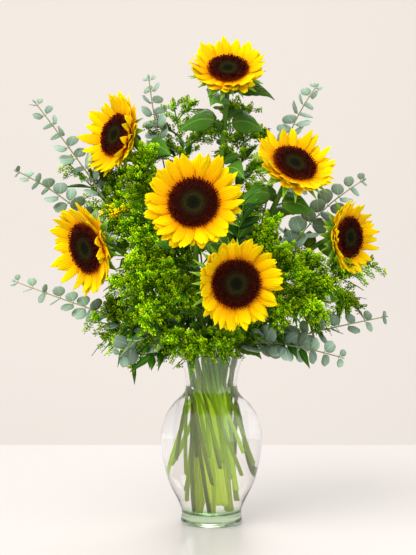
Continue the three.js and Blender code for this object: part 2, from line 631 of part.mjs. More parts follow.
// The disc is a low dome, dipped in the middle, with the florets as relief in offset rows.
function discGeometry(flower, frame) {
  const radius = flower.disc / 2;
  const ring = (share, height, relief, row) => Array.from({ length: DISC_SIDES }, (_, i) => {
    const raised = relief * ((i + row) % 2 ? 1 : -1);
    return frame.spot(radius * share, 2 * Math.PI * (i + 0.5 * (row % 2)) / DISC_SIDES, height + raised);
  });
  const back = ring(DISC_BACK, 0, 0, 0);
  const front = DISC_ROWS.map(([share, height, relief], row) => ring(share, height, relief, row));
  return loft([back, ...front, [frame.spot(0, 0, DISC_DIP)]]);
}

// A turned body in a head's frame with blades grown out of some of its faces, as one skin. Its profile runs
// from the front to the back; grow gives the rings of the blade on a band's face, or nothing.
function fringed(frame, profile, sides, grow) {
  const rings = profile.map(([radius, ahead]) => (radius === 0 ? [frame.spot(0, 0, ahead)]
    : Array.from({ length: sides }, (_, j) => frame.spot(radius, 2 * Math.PI * j / sides, ahead))));
  const faces = [];
  rings.slice(1).forEach((b, band) => {
    const a = rings[band];
    if (a.length === 1 || b.length === 1) {
      bridge(faces, a, b);
      return;
    }
    for (let j = 0; j < sides; j++) {
      const k = (j + 1) % sides;
      const root = [a[j], a[k], b[k], b[j]];
      growFace(faces, root, grow(band, j, root));
    }
  });
  return meshOf(faces);
}

// The rings of a flat blade in a head's frame: stations are [place, half width], then comes the sharp tip.
function bladeRings(frame, { start, reach, turn, sway, depth, lift, power, thick, stations }) {
  const spine = (s) => frame.spot(start + reach * s, turn + sway * s, depth + lift * s ** power);
  const side = frame.right.clone().multiplyScalar(-Math.sin(turn)).addScaledVector(frame.up, Math.cos(turn));
  const rings = stations.map(([spot, half]) => {
    const middle = spine(spot);
    const normal = spine(spot + SLOPE_STEP).sub(spine(spot - SLOPE_STEP)).cross(side).normalize();
    return [[-1, 1], [1, 1], [1, -1], [-1, -1]].map(
      ([across, over]) => offset(middle, [side, across * half], [normal, over * thick / 2]));
  });
  return [...rings, [spine(1)]];
}

// The first of some changed shapes of a blade that is clear of the other nodes.
function clearBlade(node, root, shape, changes) {
  for (const change of changes) {
    const rings = change(shape);
    const solid = solidOf(loft([root, ...rings]));
    if (isClear(node, solid, solid.boundingBox())) {
      return rings;
    }
  }
  return null;
}

// How far a petal curls over the disc, from 0 to 1: most on the head's own curled side.
function curlAt(flower, turn) {
  const [side, most, power] = flower.curl;
  return most * Math.max(0, Math.cos(turn - degrees(side))) ** power;
}

// Petals in two layers on their ring: each leaves it flat, then cups forward.
function growPetals(flower, index, frame) {
  const node = `sunflower_${flower.name}_petals`;
  const draw = seeded(SEEDS.petals + index);
  const [inner, outer] = [RING.inner, RING.outer].map((share) => share * flower.disc / 2);
  const front = -CLEARANCE;
  const back = front - RING.thick;
  const profile = [[inner, front], [outer, front], [outer, (front + back) / 2], [outer, back], [inner, back],
    [inner, front]];
  const width = PETAL.width * flower.head / PETAL.headOfWidth;
  place(node, fringed(frame, profile, PETAL.count, (band, j, root) => {
    const layer = band - 1;
    if (layer < 0 || layer > 1 || j % 2 !== layer) {
      return null;
    }
    const turn = 2 * Math.PI * (j + 0.5) / PETAL.count;
    const curl = curlAt(flower, turn);
    const longest = (flower.head / 2 - outer) * (1 - PETAL.curled * curl);
    const reach = longest * (PETAL.shortest + (1 - PETAL.shortest) * draw());
    const shape = {
      start: outer, reach, turn, sway: PETAL.sway * (draw() - 0.5),
      depth: front - RING.thick * PETAL.depths[layer],
      lift: reach * (PETAL.lifts[layer] + flower.cup + curl + PETAL.spread * draw()), power: PETAL.power,
      thick: PETAL.thick, stations: PETAL.stations.map(([spot, half]) => [spot, half * width]),
    };
    return clearBlade(node, root, shape, PETAL_CHANGES.map(([lift, short]) => (plain) => bladeRings(
      frame, { ...plain, lift: plain.lift + lift, reach: plain.reach * short })));
  }), true);
}

// The green cup behind a head, with pointed bracts in two rows.
function growCalyx(flower, index, frame) {
  const node = `sunflower_${flower.name}_stem`;
  const draw = seeded(SEEDS.bracts + index);
  const outer = CALYX.outer * flower.disc / 2;
  const front = -CLEARANCE - RING.thick - CLEARANCE;
  const cup = CALYX.section.map(([share, behind]) => [share * outer, front - behind]);
  const profile = [[0, front], [outer, front], ...cup, [CALYX.neck, CALYX.back], [0, CALYX.back]];
  place(node, fringed(frame, profile, BRACT.count, (band, j, root) => {
    const row = band - 1;
    if (row < 0 || row > 1 || j % 2 !== row) {
      return null;
    }
    const shape = {
      start: outer, reach: BRACT.reach * flower.head * (BRACT.shortest + BRACT.spread * draw()),
      turn: 2 * Math.PI * (j + 0.5) / BRACT.count, sway: BRACT.sway * (draw() - 0.5),
      depth: front - BRACT.depth - BRACT.rowDepth * row, lift: -BRACT.lift - BRACT.rowLift * row,
      power: BRACT.power, thick: BRACT.thick, stations: BRACT.stations,
    };
    return clearBlade(node, root, shape, BRACT_DROPS.map((drop) => (plain) => bladeRings(
      frame, { ...plain, lift: plain.lift - drop })));
  }), true);
}

// How far a blade is rolled about its heading to turn its face to the light, up to a limit. Its face looks
// along side x heading.
function rollToLight(side, heading, most) {
  const light = vec(...LIGHT);
  const angle = Math.atan(light.dot(side) / light.dot(side.clone().cross(heading)));
  return Math.min(Math.max(angle, -most), most);
}

// A broad leaf on a stem: it stands out from it, its edge waved, and its far half hangs.
function broadLeaf(stem, share, turn, length, width, change) {
  const { point } = onStem(stem, share);
  const { rise, droop, thick, cup, mostRoll, stations } = BROAD_LEAF;
  const angle = degrees(turn) + change.turn;
  const heading = vec(Math.cos(angle), Math.sin(angle), rise + change.lift).normalize();
  const side = heading.clone().cross(UP).normalize();
  const long = length * change.length;
  return blade({
    spine: (s) => offset(point, [heading, long * s], [UP, -droop * long * s * s]),
    side: side.applyAxisAngle(heading, rollToLight(side, heading, mostRoll)),
    width: width * change.length, thick, cup, stations,
  });
}

function growStemLeaves(stem) {
  for (const [share, turn, length, width] of stem.plan.leaves) {
    const leaf = (change) => broadLeaf(stem, share, turn, length, width, change);
    placeClear(`${stem.name}_stem`, leaf, LEAF_TRIES);
  }
}

// ---- Eucalyptus, goldenrod and leafy stems ----

// Two directions across a stem, for setting leaves round it.
function acrossOf(tangent) {
  const side = (Math.abs(tangent.z) > 0.95 ? vec(1, 0, 0) : UP.clone()).cross(tangent).normalize();
  return { side, other: tangent.clone().cross(side) };
}

// A thin stem from foot to tip as one skin. At each node, given as a share of the stem, it has a short band
// whose four faces may grow blades: grow gives a face's rings, or nothing.
function grownStem(stem, nodes, grow) {
  const lower = THIN_BENDS.filter((share) => share < nodes[0] - NODE_ROOM);
  const marks = [...lower.map((share) => ({ share, shift: 0 })),
    ...nodes.flatMap((share) => [{ share, shift: -NODE_HALF }, { share, shift: NODE_HALF }])];
  const points = [stem.foot, ...marks.map(({ share, shift }) => {
    const { point, tangent } = onRoute(stem, share);
    return offset(point, [tangent, shift]);
  })];
  const radii = [stem.radius, ...marks.map(({ share }) => stem.radius * (1 - (1 - THIN_TIP) * share))];
  const rings = tubeRings(points, radii, 4);
  const faces = [];
  rings.slice(1).forEach((b, band) => {
    const a = rings[band];
    const node = (band - lower.length - 1) / 2;
    if (node < 0 || !Number.isInteger(node)) {
      bridge(faces, a, b);
      return;
    }
    for (let j = 0; j < 4; j++) {
      const root = [a[j], a[(j + 1) % 4], b[(j + 1) % 4], b[j]];
      growFace(faces, root, grow(node, j, root));
    }
  });
  const [first, last] = [rings[0], rings[rings.length - 1]];
  faces.push([first[0], first[2], first[1]], [first[0], first[3], first[2]]);
  faces.push([last[0], last[1], last[2]], [last[0], last[2], last[3]]);
  return meshOf(faces);
}

// The rings of a leaf on a stem's face: it heads out and up the stem, turned and shortened by change.
function leafRings(root, tangent, leaf, change) {
  const { long, width, thick, rise, turn, roll, mostRoll, droop, stations } = leaf;
  const middle = root.reduce((sum, p) => sum.addScaledVector(p, 0.25), vec(0, 0, 0));
  const edge = root[1].clone().sub(root[0]).normalize();
  const out = edge.clone().cross(tangent).normalize();
  const angle = turn + change.turn;
  const heading = out.multiplyScalar(Math.cos(angle)).addScaledVector(edge, Math.sin(angle))
    .addScaledVector(tangent, rise + change.lift).normalize();
  const flat = edge.clone().addScaledVector(heading, -edge.dot(heading)).normalize();
  const upper = flat.clone().cross(heading);
  const upward = upper.dot(tangent) < 0 ? -1 : 1;
  const side = flat.clone().applyAxisAngle(heading, rollToLight(flat, heading, mostRoll) + roll);
  const normal = side.clone().cross(heading).multiplyScalar(upward);
  const reach = long * change.length;
  const spine = (s) => offset(middle, [heading, reach * s], [UP, -droop * reach * s * s]);
  const rings = stations.map(([spot, share]) => {
    const half = share * width * change.length / 2;
    return [[-1, -1], [1, -1], [1, 1], [-1, 1]].map(
      ([across, over]) => offset(spine(spot), [side, across * half], [normal, over * thick / 2]));
  });
  return [...rings, [spine(1)]];
}

// Grows a stem with its leaves. leafAt gives the leaf's measures on a node's face, or nothing.
function growLeaves(stem, leafAt) {
  const skin = grownStem(stem, stem.nodes, (node, j, root) => {
    const leaf = leafAt(node, j);
    const { tangent } = onRoute(stem, stem.nodes[node]);
    for (const change of leaf ? LEAF_TRIES : []) {
      const rings = leafRings(root, tangent, leaf, change);
      if (place(stem.name, loft([root, ...rings]))) {
        return rings;
      }
    }
    return null;
  });
  skins.set(stem.name, skin);
}

// Round leaves in pairs, each pair a quarter turn from the one below it, smaller towards the tip.
function growEucalyptus(stem, index) {
  const draw = seeded(SEEDS.eucalyptus + index);
  const { lowest, highest, smallest, spread, stalk, ...plain } = EUCALYPTUS_LEAF;
  growLeaves(stem, (node, j) => {
    const level = node / (stem.nodes.length - 1);
    const typical = lowest + (highest - lowest) * level * level;
    const size = typical * (smallest + spread * draw());
    const turn = plain.turn * (draw() - 0.5);
    const roll = plain.roll * (draw() - 0.5);
    return j % 2 === node % 2 ? { ...plain, long: size + stalk, width: size, turn, roll, droop: 0 } : null;
  });
}

// A chain of buds along an arching twig, as one beaded skin.
function budChain(start, heading, length, droop, steps) {
  const points = [];
  const radii = [];
  for (let i = 0; i <= steps; i++) {
    const s = i / steps;
    const bead = BUDS.radius * (i % 2 ? 1 : BUDS.waist) * (1 - BUDS.taper * s);
    points.push(offset(start, [heading, length * s], [UP, -droop * length * s * s]));
    radii.push(i % steps === 0 ? 0 : bead);
  }
  return tube(points, radii, BUDS.sides);
}

// A plume: twigs of buds round the upper stem, longest low down, arching over.
function growTwigs(stem, draw) {
  const total = stemLength(stem);
  for (let i = 0; i < TWIG.count; i++) {
    const level = (i + 0.5) / TWIG.count;
    const { point, tangent } = onStem(stem, 1 - stem.plan.leafy * (1 - level) / total);
    const { side, other } = acrossOf(tangent);
    const turn = i * degrees(LEAF_ANGLE) + TWIG.turn * (draw() - 0.5);
    const typical = TWIG.lowest + (TWIG.highest - TWIG.lowest) * level;
    const length = typical * (TWIG.shortest + TWIG.spread * draw());
    const droop = TWIG.leastDroop + TWIG.droop * draw();
    placeClear(stem.name, (change) => {
      const angle = turn + change.turn;
      const out = side.clone().multiplyScalar(Math.cos(angle)).addScaledVector(other, Math.sin(angle));
      const heading = out.addScaledVector(tangent, TWIG.rise + change.lift).normalize();
      return budChain(point, heading, length * change.length, droop, TWIG.steps);
    }, LEAF_TRIES);
  }
}

// Side plumes, each leaving the stem below the point nearest its tip, so that it leans up the stem.
function growSidePlumes(stem) {
  for (const spot of stem.plan.plumes) {
    const tip = vec(...spot);
    const gaps = stem.points.map((p) => p.distanceTo(tip));
    const nearest = Math.min(...gaps);
    const share = gaps.indexOf(nearest) / ROUTE_STEPS - SIDE_PLUME.lean * nearest / stemLength(stem);
    const { point, tangent } = onStem(stem, Math.max(share, SIDE_PLUME.lowest));
    const reach = tip.sub(point);
    const length = reach.length();
    const steps = Math.max(BUDS.fewest, Math.round(length / BUDS.step));
    placeClear(stem.name, (change) => {
      const heading = reach.clone().addScaledVector(UP, SIDE_PLUME.droop * length).normalize()
        .applyAxisAngle(tangent, change.turn).addScaledVector(tangent, SIDE_PLUME.lift * change.lift)
        .normalize();
      return budChain(point, heading, length * change.length, SIDE_PLUME.droop, steps);
    }, LEAF_TRIES);
  }
}

function growGoldenrod(stem, index) {
  growTwigs(stem, seeded(SEEDS.goldenrod + index));
  growSidePlumes(stem);
}

// Narrow pointed leaves by turns round the upper stem.
function growLeafy(stem, index) {
  const draw = seeded(SEEDS.leafy + index);
  const { width, widthOfLength, shortest, spread, ...plain } = NARROW_LEAF;
  growLeaves(stem, (node, j) => {
    const long = stem.plan.leaf * (shortest + spread * draw());
    const turn = plain.turn * (draw() - 0.5);
    const face = (node * 3) % 4;
    const leafed = j === face || (j === (face + 2) % 4 && node % 2 === 0);
    return leafed ? { ...plain, long, width: width * stem.plan.leaf / widthOfLength, turn, roll: 0 } : null;
  });
}

// ---- The whole, in the order in which pieces make room for each other ----

const stems = makeStems();
const group = new THREE.Group();
place('vase', vaseGeometry(), true);
for (const stem of stems) {
  if (stem.kind === 'sunflower') {
    place(`${stem.name}_stem`, stemTube(stem, THICK_SIDES, THICK_TIP), true);
  } else if (stem.nodes) {
    place(stem.name, grownStem(stem, stem.nodes, () => null), true);
  } else {
    place(stem.name, stemTube(stem, BUDS.sides, THIN_TIP), true);
  }
}
const frames = SUNFLOWERS.map(headFrame);
SUNFLOWERS.forEach((flower, i) => {
  place(`sunflower_${flower.name}_disc`, discGeometry(flower, frames[i]), true);
});
SUNFLOWERS.forEach((flower, i) => growPetals(flower, i, frames[i]));
SUNFLOWERS.forEach((flower, i) => growCalyx(flower, i, frames[i]));
stems.filter((stem) => stem.kind === 'sunflower').forEach(growStemLeaves);
stems.filter((stem) => stem.kind === 'eucalyptus').forEach(growEucalyptus);
stems.filter((stem) => stem.kind === 'goldenrod').forEach(growGoldenrod);
stems.filter((stem) => stem.kind === 'leafy').forEach(growLeafy);

function addMesh(name, geometry, finish) {
  const mesh = new THREE.Mesh(geometry, new THREE.MeshStandardMaterial({ ...finish, metalness: 0 }));
  mesh.name = name;
  group.add(mesh);
}

addMesh('vase', vaseGeometry(), FINISHES.glass);
addMesh('water', waterGeometry(stems), FINISHES.water);
for (const stem of stems) {
  if (stem.kind === 'sunflower') {
    for (const piece of ['petals', 'disc', 'stem']) {
      addMesh(`${stem.name}_${piece}`, fused(`${stem.name}_${piece}`), FINISHES[piece]);
    }
  } else {
    addMesh(stem.name, skins.get(stem.name) ?? fused(stem.name), FINISHES[stem.kind]);
  }
}

export default group;
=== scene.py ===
"""Sunflowers in a glass vase: the finished look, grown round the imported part.

Sizes and places are millimetres, and MM turns them to metres where a mesh is made. Stems, petals, leaves
and twigs follow the part's own plan, with the same tables, draws and relaxing.
"""

from math import atan, atan2, cos, hypot, pi, radians, sin, sqrt
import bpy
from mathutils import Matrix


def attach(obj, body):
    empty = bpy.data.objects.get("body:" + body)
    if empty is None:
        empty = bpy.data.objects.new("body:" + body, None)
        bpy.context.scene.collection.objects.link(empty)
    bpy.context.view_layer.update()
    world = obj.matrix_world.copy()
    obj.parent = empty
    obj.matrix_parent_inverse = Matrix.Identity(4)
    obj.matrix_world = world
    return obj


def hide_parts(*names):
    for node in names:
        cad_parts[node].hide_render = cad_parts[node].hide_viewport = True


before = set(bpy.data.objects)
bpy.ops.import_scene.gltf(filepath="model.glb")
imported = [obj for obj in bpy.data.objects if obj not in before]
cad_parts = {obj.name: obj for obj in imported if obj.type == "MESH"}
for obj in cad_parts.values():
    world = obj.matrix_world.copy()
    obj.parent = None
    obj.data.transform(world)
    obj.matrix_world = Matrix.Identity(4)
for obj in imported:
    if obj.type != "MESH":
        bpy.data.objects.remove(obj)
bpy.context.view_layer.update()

from types import SimpleNamespace as Values

import bpy
import numpy as np

bpy.ops.object.select_all(action="DESELECT")

MM = 0.001
UP = np.array([0.0, 0.0, 1.0])

# ---- Camera, from the photograph's frame of 416 x 555 ----

IMAGE_HEIGHT = 555
FOCAL_PIXELS = 1218
SENSOR_MM = 36
CAMERA_DISTANCE = 1.58       # metres from the vase's axis
CAMERA_HEIGHT = 0.359
CAMERA_ASIDE = -0.0045
HORIZON_ABOVE_MIDDLE = 31.5  # pixels

# ---- Vase and water, mm ----

WALL = 3
BASE = 12
BASE_ROUND = 7
FOOT_RADIUS = 37
WATER_TOP = 178
RIM_HEIGHT = 219
RIM_RADIUS = 43
VASE_KNOTS = [
    (40, 3), (39, 16), (44, 29), (58, 60), (66, 106), (61, 135), (50, 154), (37, 167), (33.5, 178),
    (36, 198), (RIM_RADIUS, RIM_HEIGHT),
]
# The foot's underside, which is hollowed a little, and its rounded edge.
FOOT_SECTION = [(20, 2.5), (30, 1.8), (34, 0.2), (FOOT_RADIUS, 0), (FOOT_RADIUS + 1.6, 0.5)]
LIP_RISE = 0.4
LIP_TURNS = (0.8, 1.6, 2.4)  # radians over the lip, from outside to inside
BOWL_STEPS = 6               # round the inside of the base
SECTION_STEPS = 10           # of the solid vase, which the stems are kept inside
SMOOTH_STEPS = 48
VASE_SIDES = 96
SHARP_EDGE = radians(40)
WATER_SUNK = 0.15            # into the glass, so that no film of air shows between them
GREEN_GLASS = 40             # height over which the thick base loses its green

# ---- Stems, mm ----

NECK_HEIGHT = 177
FOOT_HEIGHT = 14
BUNDLE_SPREAD = 1.3
BUNDLE_TWIST = radians(80)
THICK_FEET = (17, 5, 3, 5)   # lowest cut end, step between heights, stride and number of heights
THIN_FEET = (22, 14, 5, 6)
LEANING_FEET = (60, 9, 3, 5)  # of the outer thin stems, which lean out to the glass
LEANING_SPREAD = 2.3
THICK_RING = 14
THIN_RINGS = (22.6, 27)      # by turns
THICK_STEM = 4.3
THIN_STEM = 1.5
ROUTE_STEPS = 48
RELAX_ROUNDS = 45
PUSH = 0.3
HELD_STEPS = 6               # from a stem's ends, over which it gets free to move
LEAST_APART = 0.1
RIM_CLEAR = 2.5
RIM_ZONE = Values(above=4, aside=12)      # how far past the rim a stem is still kept off the glass
CROWDED = 2.4                # room between stems in the vase
ROOMY = 5                    # and above it
HEAD_ROOM = Values(side=5, front=28, back=34)
DISC_RISE = 6
CALYX_BACK = -22
STEM_IN_HEAD = 5
FLOWER_ARCH = 50
PAIR_STEP = {"eucalyptus": 29, "leafy": 22}
LAST_PAIR = 0.99
LIGHT = np.array([0, -0.8, 0.6])          # leaves turn their faces this way
GOLDEN_ANGLE = radians(137.5)
WORD = 0xFFFFFFFF            # 32 bits, to which the draws are kept
DRAW_STEP = 0x6D2B79F5
# The first four are the part's own. The finer ones are for what only this script adds.
SEEDS = {"petals": 100, "eucalyptus": 300, "goldenrod": 400, "leafy": 500, "flower_stem": 600, "disc": 700,
         "calyx": 800, "finer_eucalyptus": 900, "finer_goldenrod": 1000, "finer_leafy": 1100, "stalk": 1200}

# Middle of the disc, the way it faces, head and disc diameters, how strongly the petals cup forward, the
# side where they curl over the disc with how much and how narrowly, place in the neck, rise, and broad
# leaves as (place along the stem, direction in degrees, length, width).
FLOWER_KEYS = ("name", "at", "face", "head", "disc", "cup", "curl", "neck", "rise", "leaves")
SUNFLOWERS = [Values(**dict(zip(FLOWER_KEYS, row))) for row in [
    ("top", (21, -20, 589), (0, -0.74, 0.67), 99, 51, 0, (90, 0, 2), None, 190,
     [(0.9, -20, 64, 30), (0.84, -110, 62, 38), (0.73, 195, 64, 38), (0.72, -30, 58, 36), (0.8, 85, 58, 34),
      (0.55, -60, 60, 34)]),
    ("center", (-22, -130, 412), (0, -0.97, 0.22), 121, 62, 0.1, (90, 0, 2), -112, 110,
     [(0.62, -20, 62, 36), (0.66, 190, 56, 34), (0.48, -150, 58, 36), (0.42, -60, 58, 36)]),
    ("low_center", (30, -140, 314), (0.22, -0.97, -0.05), 110, 60, 0.05, (160, 0.6, 2), -55, 58,
     [(0.6, -170, 54, 34), (0.66, -5, 50, 32)]),
    ("left", (-161, -60, 355), (-0.733, -0.643, -0.224), 116, 65, 0.05, (5, 0.6, 6), -176, 80,
     [(0.6, 110, 60, 34), (0.36, -115, 56, 36), (0.72, -60, 52, 32)]),
    ("upper_left", (-127, -20, 502), (-0.736, -0.643, 0.211), 109, 55, 0.05, (-10, 0.7, 6), 125, 150,
     [(0.7, 95, 64, 36), (0.85, -40, 52, 32), (0.58, -80, 58, 36)]),
    ("upper_right", (106, -50, 466), (0.285, -0.719, 0.632), 107, 57, 0, (200, 0.2, 4), 52, 120,
     [(0.8, -150, 60, 36), (0.7, 80, 64, 36), (0.62, -125, 58, 34), (0.74, -30, 56, 34)]),
    ("right", (178, -40, 370), (0.73, -0.68, 0), 92, 52, 0.1, (180, 0.2, 2), -4, 85,
     [(0.6, 60, 60, 34), (0.2, -55, 62, 28), (0.48, -100, 58, 34)]),
]]
# Tip, the way it points there, rise, arch, leafy length, and the tips of goldenrod's side plumes or the
# length of a leafy stem's leaves.
THIN_KEYS = ("name", "tip", "aim", "rise", "arch", "leafy", "extra")
THIN_STEMS = {kind: [Values(**dict(zip(THIN_KEYS, row))) for row in rows] for kind, rows in {
    "eucalyptus": [
        ("a", (-229, 10, 545), (-0.61, 0, 0.79), 90, 150, 125),
        ("b", (-250, -8, 455), (-0.91, 0, 0.41), 80, 130, 110),
        ("c", (-250, -30, 314), (-0.93, 0, 0.37), 78, 140, 140),
        ("d", (-82, 25, 579), (-0.1, 0, 0.99), 150, 120, 100),
        ("e", (137, 15, 567), (0.6, 0, 0.8), 130, 120, 90),
        ("f", (194, -15, 443), (0.85, 0, 0.53), 90, 120, 125),
        ("g", (219, -35, 269), (0.97, 0, 0.2), 52, 110, 100),
        ("h", (160, -70, 221), (0.95, -0.2, -0.24), 80, 95, 110),
        ("i", (-112, -72, 224), (-0.6, -0.4, -0.7), 62, 70, 75),
        ("back_left", (-150, 105, 430), (-0.7, 0.4, 0.6), 85, 120, 130),
        ("back_right", (125, 120, 440), (0.55, 0.5, 0.67), 90, 120, 130),
        ("back", (12, 150, 372), (0, 0.9, 0.44), 75, 110, 120),
    ],
    "goldenrod": [
        ("a", (-190, 28, 469), (-0.75, 0, 0.66), 85, 110, 95,
         [(-142, 20, 462), (-112, 14, 461), (-158, 24, 401), (-122, 6, 424)]),
        ("b", (-50, 38, 546), (-0.2, 0, 0.98), 140, 110, 90,
         [(-82, 40, 519), (-87, 30, 486), (-60, 26, 488), (-23, 30, 547), (-7, 22, 509)]),
        ("c", (52, 42, 542), (0.25, 0, 0.97), 140, 110, 90,
         [(27, 34, 545), (67, 36, 508), (62, 30, 465), (14, 26, 486), (60, -20, 440)]),
        ("d", (208, -8, 333), (0.95, 0, 0.3), 65, 120, 95,
         [(165, -20, 338), (180, -24, 287), (141, -34, 267), (129, -26, 308)]),
        ("e", (-150, -28, 262), (-0.95, -0.1, 0.1), 55, 100, 90,
         [(-127, -34, 290), (-100, -46, 276), (-118, -40, 234)]),
        ("f", (-103, -45, 425), (-0.55, -0.3, 0.78), 85, 90, 90,
         [(-76, -34, 445), (-129, -34, 402), (-89, -60, 369), (-30, -50, 359), (-84, -46, 488)]),
        ("g", (-92, -92, 305), (-0.6, -0.7, 0.3), 62, 75, 80,
         [(-118, -84, 320), (-56, -88, 339), (-28, -108, 316), (-73, -98, 257), (-95, -100, 352)]),
        ("h", (108, -84, 335), (0.6, -0.6, 0.5), 70, 80, 80,
         [(95, -66, 354), (131, -62, 347), (145, -66, 314), (119, -84, 288), (89, -92, 278),
          (72, -58, 398)]),
        ("i", (-12, -82, 236), (-0.1, -0.9, -0.4), 62, 55, 60,
         [(-29, -88, 222), (22, -86, 227)]),
        ("back_left", (-95, 110, 352), (-0.5, 0.7, 0.5), 70, 95, 90,
         [(-100, 70, 392), (-63, 60, 374), (-113, 64, 448)]),
        ("back_right", (95, 105, 350), (0.5, 0.7, 0.5), 70, 95, 90,
         [(69, 70, 378), (46, 56, 421), (121, 76, 384)]),
    ],
    "leafy": [
        ("left", (-74, -56, 221), (-0.5, -0.4, -0.77), 60, 55, 50, 32),
        ("right", (112, -54, 230), (0.8, -0.2, -0.5), 58, 75, 75, 32),
        ("middle", (40, -62, 415), (0.1, -0.3, 0.95), 100, 90, 110, 44),
        ("back", (25, 100, 262), (0.1, 0.9, -0.2), 60, 70, 75, 44),
    ],
}.items()}


# ---- Small helpers ----

def unit(v):
    v = np.asarray(v, float)
    return v / np.linalg.norm(v)


def draw_for(kind, order):
    """A repeatable draw from 0 to 1, the same as the part's."""
    state = SEEDS[kind] + order

    def draw():
        nonlocal state
        state = (state + DRAW_STEP) & WORD
        t = ((state ^ (state >> 15)) * (1 | state)) & WORD
        t = ((t + (((t ^ (t >> 7)) * (61 | t)) & WORD)) & WORD) ^ t
        return ((t ^ (t >> 14)) & WORD) / (WORD + 1)

    return draw


def ranged(draw, least, more):
    """A draw from least up to as much more."""
    return least + more * draw()


def sway(draw, most):
    """A draw to either side of nothing, most from end to end."""
    return most * (draw() - 0.5)


def turned_about(v, axis, angle):
    """v turned about a unit axis."""
    c, s = cos(angle), sin(angle)
    return v * c + np.cross(axis, v) * s + axis * (axis @ v) * (1 - c)


def across_of(tangent):
    """Two axes square to a direction and to each other."""
    side = unit(np.cross(np.array([1.0, 0, 0]) if abs(tangent[2]) > 0.95 else UP, tangent))
    return side, np.cross(tangent, side)


def out_from(tangent, turn):
    side, other = across_of(tangent)
    return side * cos(turn) + other * sin(turn)


def arched(start, heading, length, droop, s):
    """The point, at a share s, of a line that arches down."""
    return start + length * (heading * s - UP * droop * s * s)


def roll_to_light(side, heading, most):
    """How far a blade rolls about its heading to turn its face, side x heading, to the light."""
    angle = atan((LIGHT @ side) / (LIGHT @ np.cross(side, heading)))
    return min(max(angle, -most), most)


def lit_side(heading, most):
    """The side axis of a level blade that is rolled to the light."""
    side = unit(np.cross(heading, UP))
    return turned_about(side, heading, roll_to_light(side, heading, most))


def spline_section(steps):
    """The vase's outside as points on one smooth curve through its knots."""
    knots = np.array(VASE_KNOTS, float)
    last = len(knots) - 1
    points = []
    for k in range(steps + 1):
        place = last * k / steps
        i = min(int(place), last - 1)
        t = place - i
        p0, p1, p2, p3 = knots[max(i - 1, 0)], knots[i], knots[i + 1], knots[min(i + 2, last)]
        v0, v1 = (p2 - p0) / 2, (p3 - p1) / 2
        cube, square = 2 * p1 - 2 * p2 + v0 + v1, -3 * p1 + 3 * p2 - 2 * v0 - v1
        points.append(cube * t ** 3 + square * t * t + v0 * t + p1)
    return np.array(points)


def inside_radius(height):
    wall = [p for p in spline_section(SECTION_STEPS) if p[1] > BASE + BASE_ROUND]
    return np.interp(height, [p[1] for p in wall], [p[0] - WALL for p in wall])


# ---- Stem routes ----

def foot_of(neck, height, spread=BUNDLE_SPREAD):
    """The foot under a place in the neck: the bundle widens and twists as one, so no stems cross."""
    c, s = cos(BUNDLE_TWIST), sin(BUNDLE_TWIST)
    x, y, _ = neck
    lowest = np.array([spread * (x * c - y * s), spread * (x * s + y * c), FOOT_HEIGHT])
    return neck + (lowest - neck) * (NECK_HEIGHT - height) / (NECK_HEIGHT - FOOT_HEIGHT)


def first_route(stem):
    """A cubic curve from the neck to the tip, before it is relaxed."""
    heading = unit(stem.neck - foot_of(stem.neck, FOOT_HEIGHT))
    p0, p3 = stem.neck, stem.end
    p1, p2 = p0 + heading * stem.rise, p3 - stem.aim * stem.arch
    t = np.linspace(0, 1, ROUTE_STEPS + 1)[:, None]
    return (1 - t) ** 3 * p0 + 3 * (1 - t) ** 2 * t * p1 + 3 * (1 - t) * t * t * p2 + t ** 3 * p3


def off_heads(points, stem):
    """How far each point has to move to leave the heads of other flowers free."""
    away = np.zeros_like(points)
    for flower in SUNFLOWERS:
        if flower is stem.plan:
            continue
        face = unit(flower.face)
        start = points - np.array(flower.at, float)
        ahead = start @ face
        aside = start - ahead[:, None] * face
        length = np.linalg.norm(aside, axis=1)
        reach = flower.head / 2 + stem.radius + HEAD_ROOM.side
        inside = (length < reach) & (ahead < HEAD_ROOM.front) & (ahead > -HEAD_ROOM.back)
        out, back = reach - length, ahead + HEAD_ROOM.back
        sideways = inside & (out < back)
        away[sideways] += (aside / np.maximum(length, 1e-9)[:, None] * out[:, None])[sideways]
        behind = inside & ~sideways
        away[behind] -= face * back[behind][:, None]
    return away


def into_neck(points, stem):
    reach = np.hypot(points[:, 0], points[:, 1])
    room = inside_radius(np.minimum(points[:, 2], RIM_HEIGHT - 1)) - stem.radius - RIM_CLEAR
    near = (points[:, 2] < RIM_HEIGHT + RIM_ZONE.above) & (reach < RIM_RADIUS + RIM_ZONE.aside)
    crowded = near & (reach > room)
    points[crowded, :2] *= (room / reach)[crowded, None]
    return points


